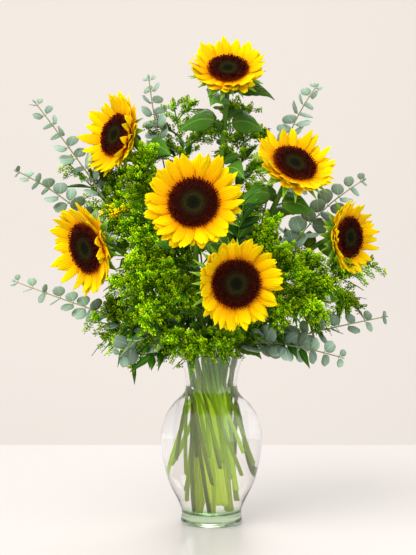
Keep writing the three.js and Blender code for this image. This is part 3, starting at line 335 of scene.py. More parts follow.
def relax(stems):
    """Pushes crossing stems apart, with their ends held, and spreads each push along the stem."""
    first = np.array([stem.points for stem in stems])
    points = first.copy()
    owner = np.repeat(np.arange(len(stems)), ROUTE_STEPS - 1)
    radius = np.array([stem.radius for stem in stems])[owner]
    step = np.arange(ROUTE_STEPS + 1)
    held = np.minimum(1, np.minimum(step, ROUTE_STEPS - step) / HELD_STEPS)[:, None]
    for _ in range(RELAX_ROUNDS):
        pushes = np.array([PUSH * off_heads(p, stem) for p, stem in zip(points, stems)])
        flat = points[:, 1:-1].reshape(-1, 3)
        square = (flat ** 2).sum(1)
        near = square[:, None] + square[None] - 2 * flat @ flat.T < (2 * THICK_STEM + ROOMY) ** 2
        a, b = np.nonzero(np.triu(near & (owner[:, None] != owner[None]), 1))
        apart = flat[a] - flat[b]
        gap = np.linalg.norm(apart, axis=1)
        room = np.where(np.minimum(flat[a, 2], flat[b, 2]) > RIM_HEIGHT, ROOMY, CROWDED)
        want = radius[a] + radius[b] + room
        tight = gap < want
        a, b, gap, want = a[tight], b[tight], gap[tight], want[tight]
        apart = apart[tight] * (PUSH * (want - gap) / np.maximum(gap, LEAST_APART))[:, None]
        share = (radius[a] / (radius[a] + radius[b]))[:, None]
        total = np.zeros_like(flat)
        np.add.at(total, a, apart * (1 - share))
        np.add.at(total, b, -apart * share)
        pushes[:, 1:-1] += total.reshape(len(stems), -1, 3)
        for s, stem in enumerate(stems):
            moved = points[s] - first[s] + pushes[s]
            smooth = moved.copy()
            smooth[1:-1] = 0.25 * (moved[:-2] + moved[2:]) + 0.5 * moved[1:-1]
            points[s, 1:-1] = (first[s] + smooth * held)[1:-1]
            points[s, 1:-1] = into_neck(points[s, 1:-1], stem)
    for stem, route in zip(stems, points):
        stem.points = route


def foot_step(feet, i):
    lowest, step, stride, heights = feet
    return lowest + step * ((i * stride) % heights)


def in_neck(ring, turn):
    return np.array([ring * cos(turn), ring * sin(turn), NECK_HEIGHT])


def make_stems():
    """Every stem from its foot to its tip: first the flowers, then the thin ones, with places in the neck
    in the order of the ways they go."""
    stems = []
    for i, plan in enumerate(SUNFLOWERS):
        ring, turn = (0, 0) if plan.neck is None else (THICK_RING, radians(plan.neck))
        face = unit(plan.face)
        stems.append(Values(
            kind="sunflower", name=f"sunflower_{plan.name}", plan=plan, order=i, radius=THICK_STEM,
            rise=plan.rise, arch=FLOWER_ARCH, aim=face, neck=in_neck(ring, turn), spread=BUNDLE_SPREAD,
            foot_height=foot_step(THICK_FEET, i),
            end=np.array(plan.at) + face * (CALYX_BACK - DISC_RISE + STEM_IN_HEAD)))
    thin = [Values(
        kind=kind, name=f"{kind}_{plan.name}", plan=plan, order=i, radius=THIN_STEM, rise=plan.rise,
        arch=plan.arch, aim=unit(plan.aim), end=np.array(plan.tip, float),
    ) for kind, plans in THIN_STEMS.items() for i, plan in enumerate(plans)]
    for i, stem in enumerate(sorted(thin, key=lambda stem: atan2(stem.end[1], stem.end[0]))):
        outer = i % 2
        stem.neck = in_neck(THIN_RINGS[outer], -pi + 2 * pi * (i + 0.5) / len(thin))
        stem.foot_height = foot_step(LEANING_FEET if outer else THIN_FEET, i // 2)
        stem.spread = LEANING_SPREAD if outer else BUNDLE_SPREAD
    stems += thin
    for stem in stems:
        stem.foot = foot_of(stem.neck, stem.foot_height, stem.spread)
        stem.points = first_route(stem)
    relax(stems)
    for stem in stems:
        stem.length = np.linalg.norm(np.diff(stem.points, axis=0), axis=1).sum()
    return stems


def on_route(stem, share):
    """The point and direction at a share of the stem above the neck."""
    place = min(max(share, 0), 1) * ROUTE_STEPS
    i = min(int(place), ROUTE_STEPS - 1)
    low, high = stem.points[i], stem.points[i + 1]
    return low + (high - low) * (place - i), unit(high - low)


def whole_line(stem):
    """The stem's points from its cut end in the water up to its tip."""
    return np.vstack([stem.foot, (stem.foot + stem.neck) / 2, stem.points])


# ---- Bunches: many copies of a modelled piece as one mesh ----

RUFFLE = Values(along=9, across=4, start=20)


class Bunch:
    """Copies of templates and tubes gathered into one mesh, with a UV map and a tint for each copy."""

    def __init__(self):
        self.verts, self.faces, self.uvs, self.tints = [], [], [], []
        self.count = 0

    def add(self, verts, faces, uv, tint):
        self.verts.append(verts)
        self.uvs.append(uv)
        self.tints.append(np.full(len(verts), tint))
        self.faces.extend([tuple(i + self.count for i in face) for face in faces])
        self.count += len(verts)

    def blade(self, template, root, heading, side, width, length, bend=(0, 0, 0), power=2.0, cup=0.0,
              twist=0.0, ruffle=0.0, tint=0.5):
        """A copy of a flat template laid along a bent spine: bend is the tip's shift as a share of the
        length, and grows with a power of the share. The edges ruffle by so many millimetres."""
        x, y, z = template["verts"].T
        s = np.maximum(y / template["length"], 0)    # some corners lie a hair below 0, where powers fail
        bend = np.asarray(bend, float)
        tangent = heading + power * bend * s[:, None] ** (power - 1)
        tangent /= np.linalg.norm(tangent, axis=1)[:, None]
        spine = root + length * (heading * s[:, None] + bend * s[:, None] ** power)
        angle = (twist * s)[:, None]
        normal = np.cross(np.broadcast_to(side, tangent.shape), tangent)
        normal /= np.linalg.norm(normal, axis=1)[:, None]
        across = side * np.cos(angle) + normal * np.sin(angle)
        normal = normal * np.cos(angle) - side * np.sin(angle)
        half = 2 * x / template["width"]
        waves = np.abs(half) * np.sin(RUFFLE.along * s + RUFFLE.across * half + RUFFLE.start * tint)
        lift = z + cup * width * half ** 2 + ruffle * waves
        verts = spine + across * (x * width / template["width"])[:, None] + normal * lift[:, None]
        self.add(verts, template["faces"], np.stack([half / 2 + 0.5, s], 1), tint)

    def lump(self, template, at, heading, size, tint, uv=None):
        """A copy of a round template set at a point, its own Z along heading."""
        side, other = across_of(heading)
        v = template["verts"] * np.asarray(size, float)
        verts = at + side * v[:, :1] + other * v[:, 1:2] + heading * v[:, 2:]
        tall = template["verts"][:, 2]
        uv = np.stack([np.full(len(v), 0.5), tall], 1) if uv is None else np.tile(uv, (len(v), 1))
        self.add(verts, template["faces"], uv, tint)

    def tube(self, points, radii, sides, tint=0.5, cut=0.0):
        """A closed tube; cut slants its first end, as cut flower stems have."""
        points = np.asarray(points, float)
        tangents = np.gradient(points, axis=0)
        tangents /= np.linalg.norm(tangents, axis=1)[:, None]
        side = across_of(tangents[0])[0]
        turn = 2 * pi * np.arange(sides) / sides
        rings, uvs = [], []
        for i, (point, tangent) in enumerate(zip(points, tangents)):
            side = unit(side - tangent * (side @ tangent))
            other = np.cross(tangent, side)
            ring = point + radii[i] * (np.cos(turn)[:, None] * side + np.sin(turn)[:, None] * other)
            if i == 0 and cut:
                ring += tangent * (cut * radii[i] * np.cos(turn))[:, None]
            rings.append(ring)
            uvs.append(np.stack([turn / (2 * pi), np.full(sides, i / len(points))], 1))
        faces = [tuple(range(sides))[::-1], tuple((len(points) - 1) * sides + j for j in range(sides))]
        for i in range(len(points) - 1):
            for j in range(sides):
                k = (j + 1) % sides
                faces.append((i * sides + j, i * sides + k, (i + 1) * sides + k, (i + 1) * sides + j))
        self.add(np.concatenate(rings), faces, np.concatenate(uvs), tint)

    def lathe(self, profile, middle, axes, sides, tint=0.5, rim=None):
        """A turned skin about the third axis, closed on it or on itself; rim makes the UV run out to it."""
        right, up, face = axes
        turn = 2 * pi * np.arange(sides) / sides
        spokes = np.cos(turn)[:, None] * right + np.sin(turn)[:, None] * up
        closed = profile[0] == profile[-1]
        verts, uvs, rows, faces = [], [], [], []
        for radius, ahead in profile[:-1] if closed else profile:
            ring = middle + face * ahead + (spokes * radius if radius else np.zeros((1, 3)))
            rows.append(list(range(len(verts), len(verts) + len(ring))))
            verts.extend(ring)
            uvs.extend([(0.5, radius / rim if rim else 0.05)] * len(ring))
        for a, b in list(zip(rows, rows[1:])) + ([(rows[-1], rows[0])] if closed else []):
            for j in range(sides):
                k = (j + 1) % sides
                if len(a) == 1:
                    faces.append((a[0], b[j], b[k]))
                elif len(b) == 1:
                    faces.append((a[k], a[j], b[0]))
                else:
                    faces.append((a[k], a[j], b[j], b[k]))
        corners = np.array(verts)
        if not encloses(corners, faces):
            faces = [face[::-1] for face in faces]
        self.add(corners, faces, np.array(uvs), tint)

    def finish(self, name, node, slot, skin):
        """Makes the one mesh, which stands for a solid."""
        mesh = bpy.data.meshes.new(name)
        verts = np.concatenate(self.verts) * MM
        mesh.from_pydata(verts.tolist(), [], self.faces)
        loops = np.zeros(len(mesh.loops), np.int32)
        mesh.loops.foreach_get("vertex_index", loops)
        uv = np.concatenate(self.uvs)[loops]
        mesh.uv_layers.new(name="UVMap").data.foreach_set("uv", uv.ravel())
        tint = mesh.attributes.new("tint", "FLOAT", "POINT")
        tint.data.foreach_set("value", np.concatenate(self.tints))
        mesh.materials.append(MATERIALS[skin])
        mesh.polygons.foreach_set("use_smooth", [True] * len(mesh.polygons))
        mesh.update()
        piece = bpy.data.objects.new(name, mesh)
        bpy.context.scene.collection.objects.link(piece)
        stand_for(piece, node)


def stand_for(piece, node):
    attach(piece, "root")
    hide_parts(node)


def encloses(verts, faces):
    """Whether a closed skin's faces look outwards."""
    triangles = [(f[0], f[i], f[i + 1]) for f in faces for i in range(1, len(f) - 1)]
    a, b, c = (verts[list(corner)] for corner in zip(*triangles))
    return (a * np.cross(b, c)).sum() > 0


# ---- Templates, each modelled once ----

SAME_PLACE = 0.01            # mm, within which a vertex belongs to a row or column
NARROWEST = 0.012            # share of its width that a pointed tip keeps
SPRIG_BUDS = [0.24, 0.32, 0.34, 0.31, 0.26, 0.19, 0.11, 0]    # how far each one stands out, from the lowest
SPRIG = Values(radius=0.115, scale=(0.9, 0.9, 1.3), lowest=0.25, step=0.095)


def choose(obj, test):
    """Selects a mesh's vertices by their place, and leaves it in edit mode."""
    bpy.ops.object.mode_set(mode="EDIT")
    bpy.ops.mesh.select_all(action="DESELECT")
    bpy.ops.object.mode_set(mode="OBJECT")
    for vertex in obj.data.vertices:
        vertex.select = bool(test(vertex.co))
    bpy.ops.object.mode_set(mode="EDIT")


def start_mesh(add_primitive, shift, **sizes):
    """Adds a primitive and moves it by a shift, in edit mode with all of it selected."""
    bpy.ops.object.select_all(action="DESELECT")
    add_primitive(**sizes)
    bpy.ops.object.mode_set(mode="EDIT")
    bpy.ops.mesh.select_all(action="SELECT")
    bpy.ops.transform.translate(value=shift)
    return bpy.context.object


def lift_template(obj, **sizes):
    """The modelled mesh as a template, in millimetres; its object goes."""
    bpy.ops.object.mode_set(mode="OBJECT")
    for modifier in list(obj.modifiers):
        bpy.ops.object.modifier_apply(modifier=modifier.name)
    verts = np.array([v.co[:] for v in obj.data.vertices])
    faces = [tuple(p.vertices) for p in obj.data.polygons]
    bpy.data.objects.remove(obj)
    return {"verts": verts, "faces": faces, **sizes}


def leaf_template(length, width, widths, across, thick, creases, teeth=0.0, notch=0.0):
    """A blade from a grid: columns, by their share of the width from the midrib, are pressed down as
    creases, each row is scaled to its width, the tip notched, and a skin given its thickness."""
    rows = len(widths) - 1
    bpy.context.tool_settings.mesh_select_mode = (True, False, False)
    obj = start_mesh(bpy.ops.mesh.primitive_grid_add, (0, 0.5, 0), x_subdivisions=across,
                     y_subdivisions=rows, size=1)
    bpy.ops.transform.resize(value=(width, length, 1), center_override=(0, 0, 0))
    for column, depth in creases.items():
        choose(obj, lambda co: abs(abs(co.x) - column * width) < SAME_PLACE)
        bpy.ops.transform.translate(value=(0, 0, -depth))
    for row, share in enumerate(widths):
        y = length * row / rows
        choose(obj, lambda co: abs(co.y - y) < SAME_PLACE)
        tooth = 1 + teeth * (1 if row % 2 else -1)
        bpy.ops.transform.resize(value=(max(share * tooth, NARROWEST), 1, 1), center_override=(0, y, 0))
    choose(obj, lambda co: abs(co.x) < SAME_PLACE and co.y > length - SAME_PLACE)
    bpy.ops.transform.translate(value=(0, -notch, 0))
    solid = obj.modifiers.new("skin", "SOLIDIFY")
    solid.thickness = thick
    solid.offset = 0
    return lift_template(obj, length=length, width=width)


def bud_template():
    """A pointed bud, its base at the origin and its tip at 1."""
    obj = start_mesh(bpy.ops.mesh.primitive_ico_sphere_add, (0, 0, 0.5), subdivisions=1, radius=0.5)
    choose(obj, lambda co: co.z > 0.6)
    bpy.ops.transform.resize(value=(0.7, 0.7, 1), center_override=(0, 0, 0.7))
    return lift_template(obj)


def sprig_template():
    """A sprig of buds up to 1 tall: small lumps set round a thin stalk, the last one at its tip."""
    start_mesh(bpy.ops.mesh.primitive_cone_add, (0, 0, 0.45), vertices=3, radius1=0.04, radius2=0.02,
               depth=0.9)
    for i, out in enumerate(SPRIG_BUDS):
        turn = i * GOLDEN_ANGLE
        bpy.ops.mesh.primitive_uv_sphere_add(
            segments=3, ring_count=2, radius=SPRIG.radius, scale=SPRIG.scale, rotation=(0, out, turn),
            location=(out * cos(turn), out * sin(turn), SPRIG.lowest + SPRIG.step * i))
    return lift_template(bpy.context.object)


def floret_template():
    """A disc floret: a five-sided tube that flares and ends in a split tip."""
    obj = start_mesh(bpy.ops.mesh.primitive_cylinder_add, (0, 0, 0.35), vertices=5, radius=0.34,
                     depth=0.7, end_fill_type="TRIFAN")
    choose(obj, lambda co: co.z > 0.6 and co.xy.length > 0.1)
    bpy.ops.transform.resize(value=(1.45, 1.45, 1), center_override=(0, 0, 0.7))
    bpy.ops.transform.translate(value=(0, 0, 0.3))
    return lift_template(obj)


def make_shapes():
    """Blades by length, width, each row's width as a share, columns, thickness and creases, and lumps."""
    return {
        "petal": leaf_template(33, 16, [0.55, 0.8, 0.95, 1.0, 0.99, 0.92, 0.78, 0.52, 0.08], 4, 0.4,
                               {0: -0.3, 1 / 4: 0.5}),
        "notched_petal": leaf_template(33, 16, [0.55, 0.8, 0.95, 1.0, 0.99, 0.94, 0.83, 0.62, 0.3], 4, 0.4,
                                       {0: 0.5, 1 / 4: -0.2}, notch=1.8),
        "bract": leaf_template(26, 11, [0.9, 1.0, 0.85, 0.55, 0.25, 0.02], 4, 0.6, {0: 0.4}),
        "broad": leaf_template(60, 36, [0.3, 0.72, 0.93, 1.0, 0.97, 0.88, 0.74, 0.56, 0.37, 0.18, 0.01], 6,
                               0.5, {0: 1.0}, teeth=0.03),
        "round": leaf_template(18, 18, [0.25, 0.7, 0.93, 1.0, 0.97, 0.82, 0.5], 4, 0.45, {0: 0.35}),
        "narrow": leaf_template(44, 12.5, [0.15, 0.6, 0.92, 1.0, 0.85, 0.6, 0.3, 0.02], 2, 0.45, {0: 0.6}),
        "small": leaf_template(20, 4.2, [0.3, 0.95, 0.8, 0.03], 2, 0.4, {0: 0.3}),
        "bud": bud_template(),
        "sprig": sprig_template(),
        "floret": floret_template(),
    }


# ---- Materials ----

CELLS = 420.0                # noise to the metre, so a fine cell is 2.4 mm
PATCHES = 34.0               # and a patch of shade is 29 mm
MIDRIB = Values(inner=0.008, outer=0.03, strength=0.8)     # in shares of a leaf's width
OPEN_BUD = 0.95              # tints above it are open buds
FULL_HEIGHT = 600            # mm, where a stem has the last colour of its ramp
# A stem's painted glow under the water, and the heights over which it fades out.
WATER_GLOW = 0.37             # how strongly a stem shines under the water
LIGHT_FADE = Values(above_rim=6, below_water=16)


def rgb(code):
    """An sRGB hex colour as linear red, green, blue and alpha."""
    channels = [int(code[i:i + 2], 16) / 255 for i in (1, 3, 5)]
    return (*[c / 12.92 if c <= 0.04045 else ((c + 0.055) / 1.055) ** 2.4 for c in channels], 1)


def add_node(tree, kind, *values, out=0, stops=(), **named):
    """Adds a shader node and gives one of its outputs. Values go to its sockets in order, or to the socket
    of a capitalised name. Other names are settings, and stops are a ramp's colours."""
    node = tree.nodes.new(f"ShaderNode{kind}")
    for key, value in named.items():
        if key[0].islower():
            setattr(node, key, value)
    if stops:
        ramp = node.color_ramp
        while len(ramp.elements) < len(stops):
            ramp.elements.new(0.5)
        for element, (place, code) in zip(ramp.elements, stops):
            element.position = place
            element.color = rgb(code)
    sockets = [socket for socket in node.inputs if socket.enabled]
    places = {socket.name.replace(" ", "_"): socket for socket in sockets}
    given = [(places[key], value) for key, value in named.items() if key[0].isupper()]
    for socket, value in [*zip(sockets, values), *given]:
        if isinstance(value, bpy.types.NodeSocket):
            tree.links.new(value, socket)
        else:
            socket.default_value = value
    return node.outputs[out] if out else [socket for socket in node.outputs if socket.enabled][0]


def new_material(name, **values):
    material = bpy.data.materials.new(name)
    material.use_nodes = True
    shader = material.node_tree.nodes["Principled BSDF"]
    for key, value in values.items():
        shader.inputs[key.replace("_", " ")].default_value = value
    return material, material.node_tree, shader


def plant_skin(name, stops, ribs=0.0, veins=0.0, depth=0.3, groove_shade=0.0, midrib=None, bloom=None,
               mottle=0.12, dark=0.72, light=1.18, by_height=False, roughness=0.6, specular=0.3,
               through=0.12, shade_patches=0.0):
    """A leaf, petal, bud or stem. Its colour runs from base to tip, or up the vase, differs from copy to
    copy between dark and light, and is mottled by fine cells. Ribs run lengthwise and veins slant out from
    the midrib, both raised, and painted shade darkens their grooves. Patches are painted shade, darker as if
    deep in a bunch and a little lighter between. A stem, whose colour goes by height, has a painted glow in
    the vase, an emission that stands in for the light that glass and water gather on it."""
    material, tree, shader = new_material(
        name, Roughness=roughness, Specular_IOR_Level=specular, Subsurface_Weight=through,
        Subsurface_Radius=(0.004, 0.003, 0.001), Subsurface_Scale=1.0)
    place = add_node(tree, "TexCoord", out="Object")
    across = add_node(tree, "SeparateXYZ", add_node(tree, "UVMap", uv_map="UVMap"), out="X")
    along = across.node.outputs["Y"]
    aside = add_node(tree, "Math", add_node(tree, "Math", across, 0.5, operation="SUBTRACT"),
                     operation="ABSOLUTE")
    tint = add_node(tree, "Attribute", attribute_name="tint", out="Fac")
    run = along
    if by_height:
        height = add_node(tree, "SeparateXYZ", place, out="Z")
        run = add_node(tree, "Math", height, FULL_HEIGHT * MM, operation="DIVIDE")
    colour = add_node(tree, "ValToRGB", run, stops=stops)
    if midrib:
        band = add_node(tree, "MapRange", aside, MIDRIB.inner, MIDRIB.outer, MIDRIB.strength, 0.0)
        colour = add_node(tree, "Mix", band, colour, rgb(midrib), data_type="RGBA")
    if bloom:
        opened = add_node(tree, "Math", tint, OPEN_BUD, operation="GREATER_THAN")
        colour = add_node(tree, "Mix", opened, colour, rgb(bloom), data_type="RGBA")
    # Ribs and veins are one wave across the blade, which the veins slant.
    slope = add_node(tree, "Math", add_node(tree, "Math", along, aside, operation="SUBTRACT"), veins,
                     operation="MULTIPLY")
    phase = add_node(tree, "Math", add_node(tree, "Math", across, ribs, operation="MULTIPLY"), slope,
                     operation="ADD")
    wave = add_node(tree, "Math", phase, operation="SINE")
    cells = add_node(tree, "TexNoise", Vector=place, Scale=CELLS, Detail=3.0)
    factors = [
        add_node(tree, "MapRange", tint, To_Min=dark, To_Max=light),
        add_node(tree, "MapRange", cells, To_Min=1 - mottle, To_Max=1 + mottle),
        # Painted shade: the grooves of the ribs and veins are darker.
        add_node(tree, "MapRange", wave, From_Min=-1.0, To_Min=1 - groove_shade),
    ]
    # Painted shade and light: broad patches darker, as deep in a bunch, and a little lighter between.
    if shade_patches:
        broad = add_node(tree, "TexNoise", Vector=place, Scale=PATCHES, Detail=1.0)
        factors.append(add_node(tree, "MapRange", broad, 0.36, 0.58, 1 - shade_patches, 1 + 0.3 * shade_patches))
    value, *rest = factors
    for factor in rest:
        value = add_node(tree, "Math", value, factor, operation="MULTIPLY")
    final = add_node(tree, "HueSaturation", Color=colour, Value=value)
    tree.links.new(final, shader.inputs["Base Color"])
    # Painted glow: the stem gives off its own colour under the water, fading out towards the rim.
    if by_height:
        glow = add_node(tree, "MapRange", height, (RIM_HEIGHT + LIGHT_FADE.above_rim) * MM,
                       (WATER_TOP - LIGHT_FADE.below_water) * MM, To_Max=WATER_GLOW)
        tree.links.new(final, shader.inputs["Emission Color"])
        tree.links.new(glow, shader.inputs["Emission Strength"])
    bump = add_node(tree, "Bump", Height=wave, Strength=depth, Distance=0.0006)
    tree.links.new(bump, shader.inputs["Normal"])
    return material


def blown_glass():
    material, tree, shader = new_material("blown_glass", Roughness=0.0, IOR=1.5, Transmission_Weight=1.0)
    height = add_node(tree, "SeparateXYZ", add_node(tree, "TexCoord", out="Object"), out="Z")
    share = add_node(tree, "MapRange", height, From_Max=GREEN_GLASS * MM)
    tint = add_node(tree, "ValToRGB", share, stops=[(0.0, "#C2E0BA"), (0.4, "#CFE8C8"), (0.65, "#FFFFFF")])
    tree.links.new(tint, shader.inputs["Base Color"])
    return material


def make_materials():
    return {
        # Thin living petal: orange where it grows out, partly its own colour and partly painted shade near
        # the disc, clear yellow over its length, finely ribbed with painted shade in the grooves, and with
        # soft light passing through.
        "petal": plant_skin(
            "ray_petal", [(0.0, "#D46400"), (0.22, "#F29400"), (0.48, "#FFBE00"), (0.8, "#FFD600"),
                          (1.0, "#FFE404")],
            ribs=44, depth=0.5, groove_shade=0.08, mottle=0.05, dark=0.84, light=1.16, roughness=0.7,
            specular=0.06),
        # Packed dry florets: almost black in the middle, a dull olive ring, then dark maroon, browner at
        # the rim, without any gloss.
        "disc": plant_skin(
            "disc_floret", [(0.0, "#121208"), (0.2, "#18180A"), (0.33, "#2B2A0E"), (0.45, "#2A1C0B"),
                            (0.58, "#2E110A"), (0.85, "#431308"), (0.93, "#5E1F08"), (1.0, "#7E3A0E")],
            depth=0, mottle=0.35, dark=0.2, light=1.9, roughness=0.95, specular=0.05, through=0),
        # Hairy green stalk, painted brighter and yellower under the water, with a painted glow there for the
        # light that glass and water gather on it, and fine ribs with painted shade in their grooves.
        "flower_green": plant_skin(
            "flower_stalk", [(0.0, "#CCE048"), (0.26, "#BEDC38"), (0.31, "#7CA432"), (1.0, "#53841E")],
            ribs=75, depth=0.4, groove_shade=0.3, dark=0.66, light=1.3, by_height=True, specular=0.2),
        # Rough green bracts, paler at their tips.
        "bract": plant_skin(
            "calyx_bract", [(0.0, "#4E8C10"), (0.6, "#72AC26"), (1.0, "#A8CE48")], ribs=40, specular=0.15),
        # Large leaf: fresh green with a pale midrib and slanting veins, a little glossy.
        "broad": plant_skin(
            "broad_leaf", [(0.0, "#567F20"), (0.3, "#3F7016"), (1.0, "#4E8420")], veins=60, depth=0.6,
            groove_shade=0.14, midrib="#7FA548", dark=0.62, light=1.25, roughness=0.5, specular=0.2, through=0.1),
        # Waxy grey-green leaf with a powdery bloom that hides its shine.
        "eucalyptus": plant_skin(
            "eucalyptus_leaf", [(0.0, "#637F69"), (0.4, "#7A9683"), (1.0, "#8DA895")], veins=34, depth=0.2,
            groove_shade=0.06, midrib="#A9BDA8", dark=0.68, light=1.42, specular=0.2),
        # Thin twig, olive to grey-green.
        "twig": plant_skin(
            "eucalyptus_twig", [(0.0, "#A8BC48"), (0.3, "#8C9660"), (1.0, "#9AA07C")], ribs=30),
        # Small soft buds, from fresh green at the stalk to yellow-green, here and there open and yellow.
        # Painted shade lies over them in broad patches, as deep in the bunch.
        "bud": plant_skin(
            "goldenrod_bud", [(0.0, "#1E6600"), (0.4, "#5CAA00"), (1.0, "#C6E614")], depth=0,
            bloom="#FFC000", mottle=0.15, dark=0.42, light=1.75, roughness=0.8, specular=0.05, shade_patches=0.55),
        # Thin green stalk, painted brighter and yellower under the water, with a painted glow there.
        "thin_green": plant_skin(
            "thin_stalk", [(0.0, "#BCD63C"), (0.26, "#A0C82C"), (0.32, "#6AA020"), (1.0, "#4E8C14")],
            ribs=30, dark=0.5, light=1.25, by_height=True, specular=0.2),
        # Narrow leaf, deeper green with a lighter midrib.
        # Painted shade lies over it in broad patches.
        "narrow": plant_skin(
            "narrow_leaf", [(0.0, "#356C0C"), (0.5, "#275C08"), (1.0, "#427C10")], veins=40, depth=0.4,
            groove_shade=0.1, midrib="#5C9A2C", roughness=0.5, specular=0.2, shade_patches=0.3),
        # Blown soda-lime glass: clear and mirror-smooth, so its edges draw dark lines; pale green in the
        # thick base.
        "glass": blown_glass(),
        # Still water, clear, bending what stands in it.
        "water": new_material("vase_water", Base_Color=rgb("#FFFFFF"), Roughness=0.0, IOR=1.333,
                              Transmission_Weight=1.0)[0],
    }


# ---- Vase and water ----

def turned_shell(name, section, node, slot):
    """A round body drawn up from a disc: each step of its section is extruded and scaled to its radius."""
    (radius, height), *rest = section
    piece = start_mesh(bpy.ops.mesh.primitive_circle_add, (0, 0, height * MM), vertices=VASE_SIDES,
                       radius=radius * MM, fill_type="NGON")
    piece.name = piece.data.name = name
    last_radius, last_height = radius, height
    for radius, height in rest:
        rise, share = (height - last_height) * MM, radius / last_radius
        bpy.ops.mesh.extrude_region_move(TRANSFORM_OT_translate={"value": (0, 0, rise)})
        bpy.ops.transform.resize(value=(share, share, 1), center_override=(0, 0, height * MM))
        last_radius, last_height = radius, height
    bpy.ops.mesh.select_all(action="SELECT")
    bpy.ops.mesh.normals_make_consistent(inside=False)
    bpy.ops.object.mode_set(mode="OBJECT")
    bpy.ops.object.shade_smooth_by_angle(angle=SHARP_EDGE)
    piece.data.materials.clear()
    piece.data.materials.append(MATERIALS[slot])
    stand_for(piece, node)


def make_vase():
    outside = spline_section(SMOOTH_STEPS)
    wall = [(r - WALL, z) for r, z in outside if z > BASE + BASE_ROUND]
    bowl = []
    for k in range(1, BOWL_STEPS + 1):
        turn = pi / 2 * k / BOWL_STEPS
        inward, down = BASE_ROUND * (1 - cos(turn)), BASE_ROUND * sin(turn)
        bowl.append((wall[0][0] - inward, wall[0][1] - down))
    lip = [(RIM_RADIUS - WALL * (1 - cos(turn)) / 2, RIM_HEIGHT + LIP_RISE * sin(turn))
           for turn in LIP_TURNS]
    turned_shell("glass_vase", [*FOOT_SECTION, *outside, *lip, *wall[::-1], *bowl], "vase", "glass")
    brim = float(np.interp(WATER_TOP, [z for _, z in wall], [r for r, _ in wall]))
    floor = [(r + WATER_SUNK, z - WATER_SUNK) for r, z in bowl[::-1]]
    below = [(r + WATER_SUNK, z) for r, z in wall if z < WATER_TOP - 1]
    turned_shell("vase_water", [*floor, *below, (brim + WATER_SUNK, WATER_TOP)], "water", "water")


# ---- Sunflowers ----

# Pairs are a least value and how much a draw can add to it.
PETAL = Values(outer=0.86, rooted=2, width=14.6, head=110, widths=(0.76, 0.44), lengths=(0.78, 0.28),
               power=1.9, cups=(0.03, 0.12), spread=0.12, curled=0.3, uneven=0.75, sway=0.36, twist=0.9,
               ruffle=0.8, whole=0.7)
# Rows of petals from front to back: how many, depth in the head and lift.
PETAL_ROWS = [(19, -0.9, 0.45), (21, -1.9, 0.26), (19, -2.6, 0.12)]
RING = Values(inner=0.62, front=-0.4, back=-2.9, sides=40)
TIDY_HEADS = ("left", "upper_left")       # few of their petals curl, and their bracts are short
TIDY = Values(front_curl=0.8, back_curl=0.25, bract=0.75)
DISC_FLORETS = 560
FLORET = Values(widths=(0.8, 0.4), heights=(0.6, 0.8), sunk=0.4, out=0.97, open_from=0.5)
# The dome under the florets, as (share of the disc's radius, height), and the places, heights and lengths
# of florets from the middle out.
DOME = [(0, 0.2), (0.7, 0.2), (0.95, 1.2), (0.9, 3.0), (0.7, 4.0), (0.45, 3.6), (0.2, 3.0), (0, 2.8)]
FLORET_RISE = ([0, 0.4, 0.7, 0.9, 1.0], [2.8, 3.4, 3.8, 2.8, 1.2])
FLORET_LENGTH = ([0, 0.45, 0.6, 1.0], [0.8, 1.1, 2.2, 3.4])
CALYX_OUTER = 0.84
# The calyx behind a head, as (share of its outer radius, place), down to the stem.
CALYX = [(0, -3.4), (1, -3.4), (0.96, -6.5), (0.8, -9.5), (0.5, -13)]
BRACT = Values(count=26, rooted=3, width=11, widths=(0.85, 0.3), reach=0.26, lengths=(0.8, 0.35), lift=1,
               row_lift=5, back=-4.6, row_back=2.6, power=1.4, sway=0.3, twist=0.8, cup=0.08)
STEM_TAPER = 0.75
BROAD_LEAF = Values(shape="broad", rise=0.35, droop=0.64, most_roll=1.2, stalk=12,
                    stalk_radii=[1.6, 1.2, 1.0], fuller=1.08, overlap=4, cup=-0.09, twist=0.4, ruffle=1.3)
# Small leaves on a flower stem, among its broad ones.
SMALL_LEAF = Values(shape="broad", count=9, first=0.4, span=0.54, above_rim=25, along=0.8, gap=3,
                    widths=(13, 6), lengths=(30, 14), droop=0.4, cup=-0.09, twist=0.5, ruffle=0.6)


def head_axes(flower):
    """A head's right, up and facing axes, and the middle of its disc's flat back."""
    face = unit(flower.face)
    right = unit(np.cross(UP, face))
    up = np.cross(face, right)
    return (right, up, face), np.array(flower.at, float) - face * DISC_RISE


def spoke(axes, turn):
    """The way out of a head at a turn, and the way across it."""
    right, up, _ = axes
    return right * cos(turn) + up * sin(turn), up * cos(turn) - right * sin(turn)


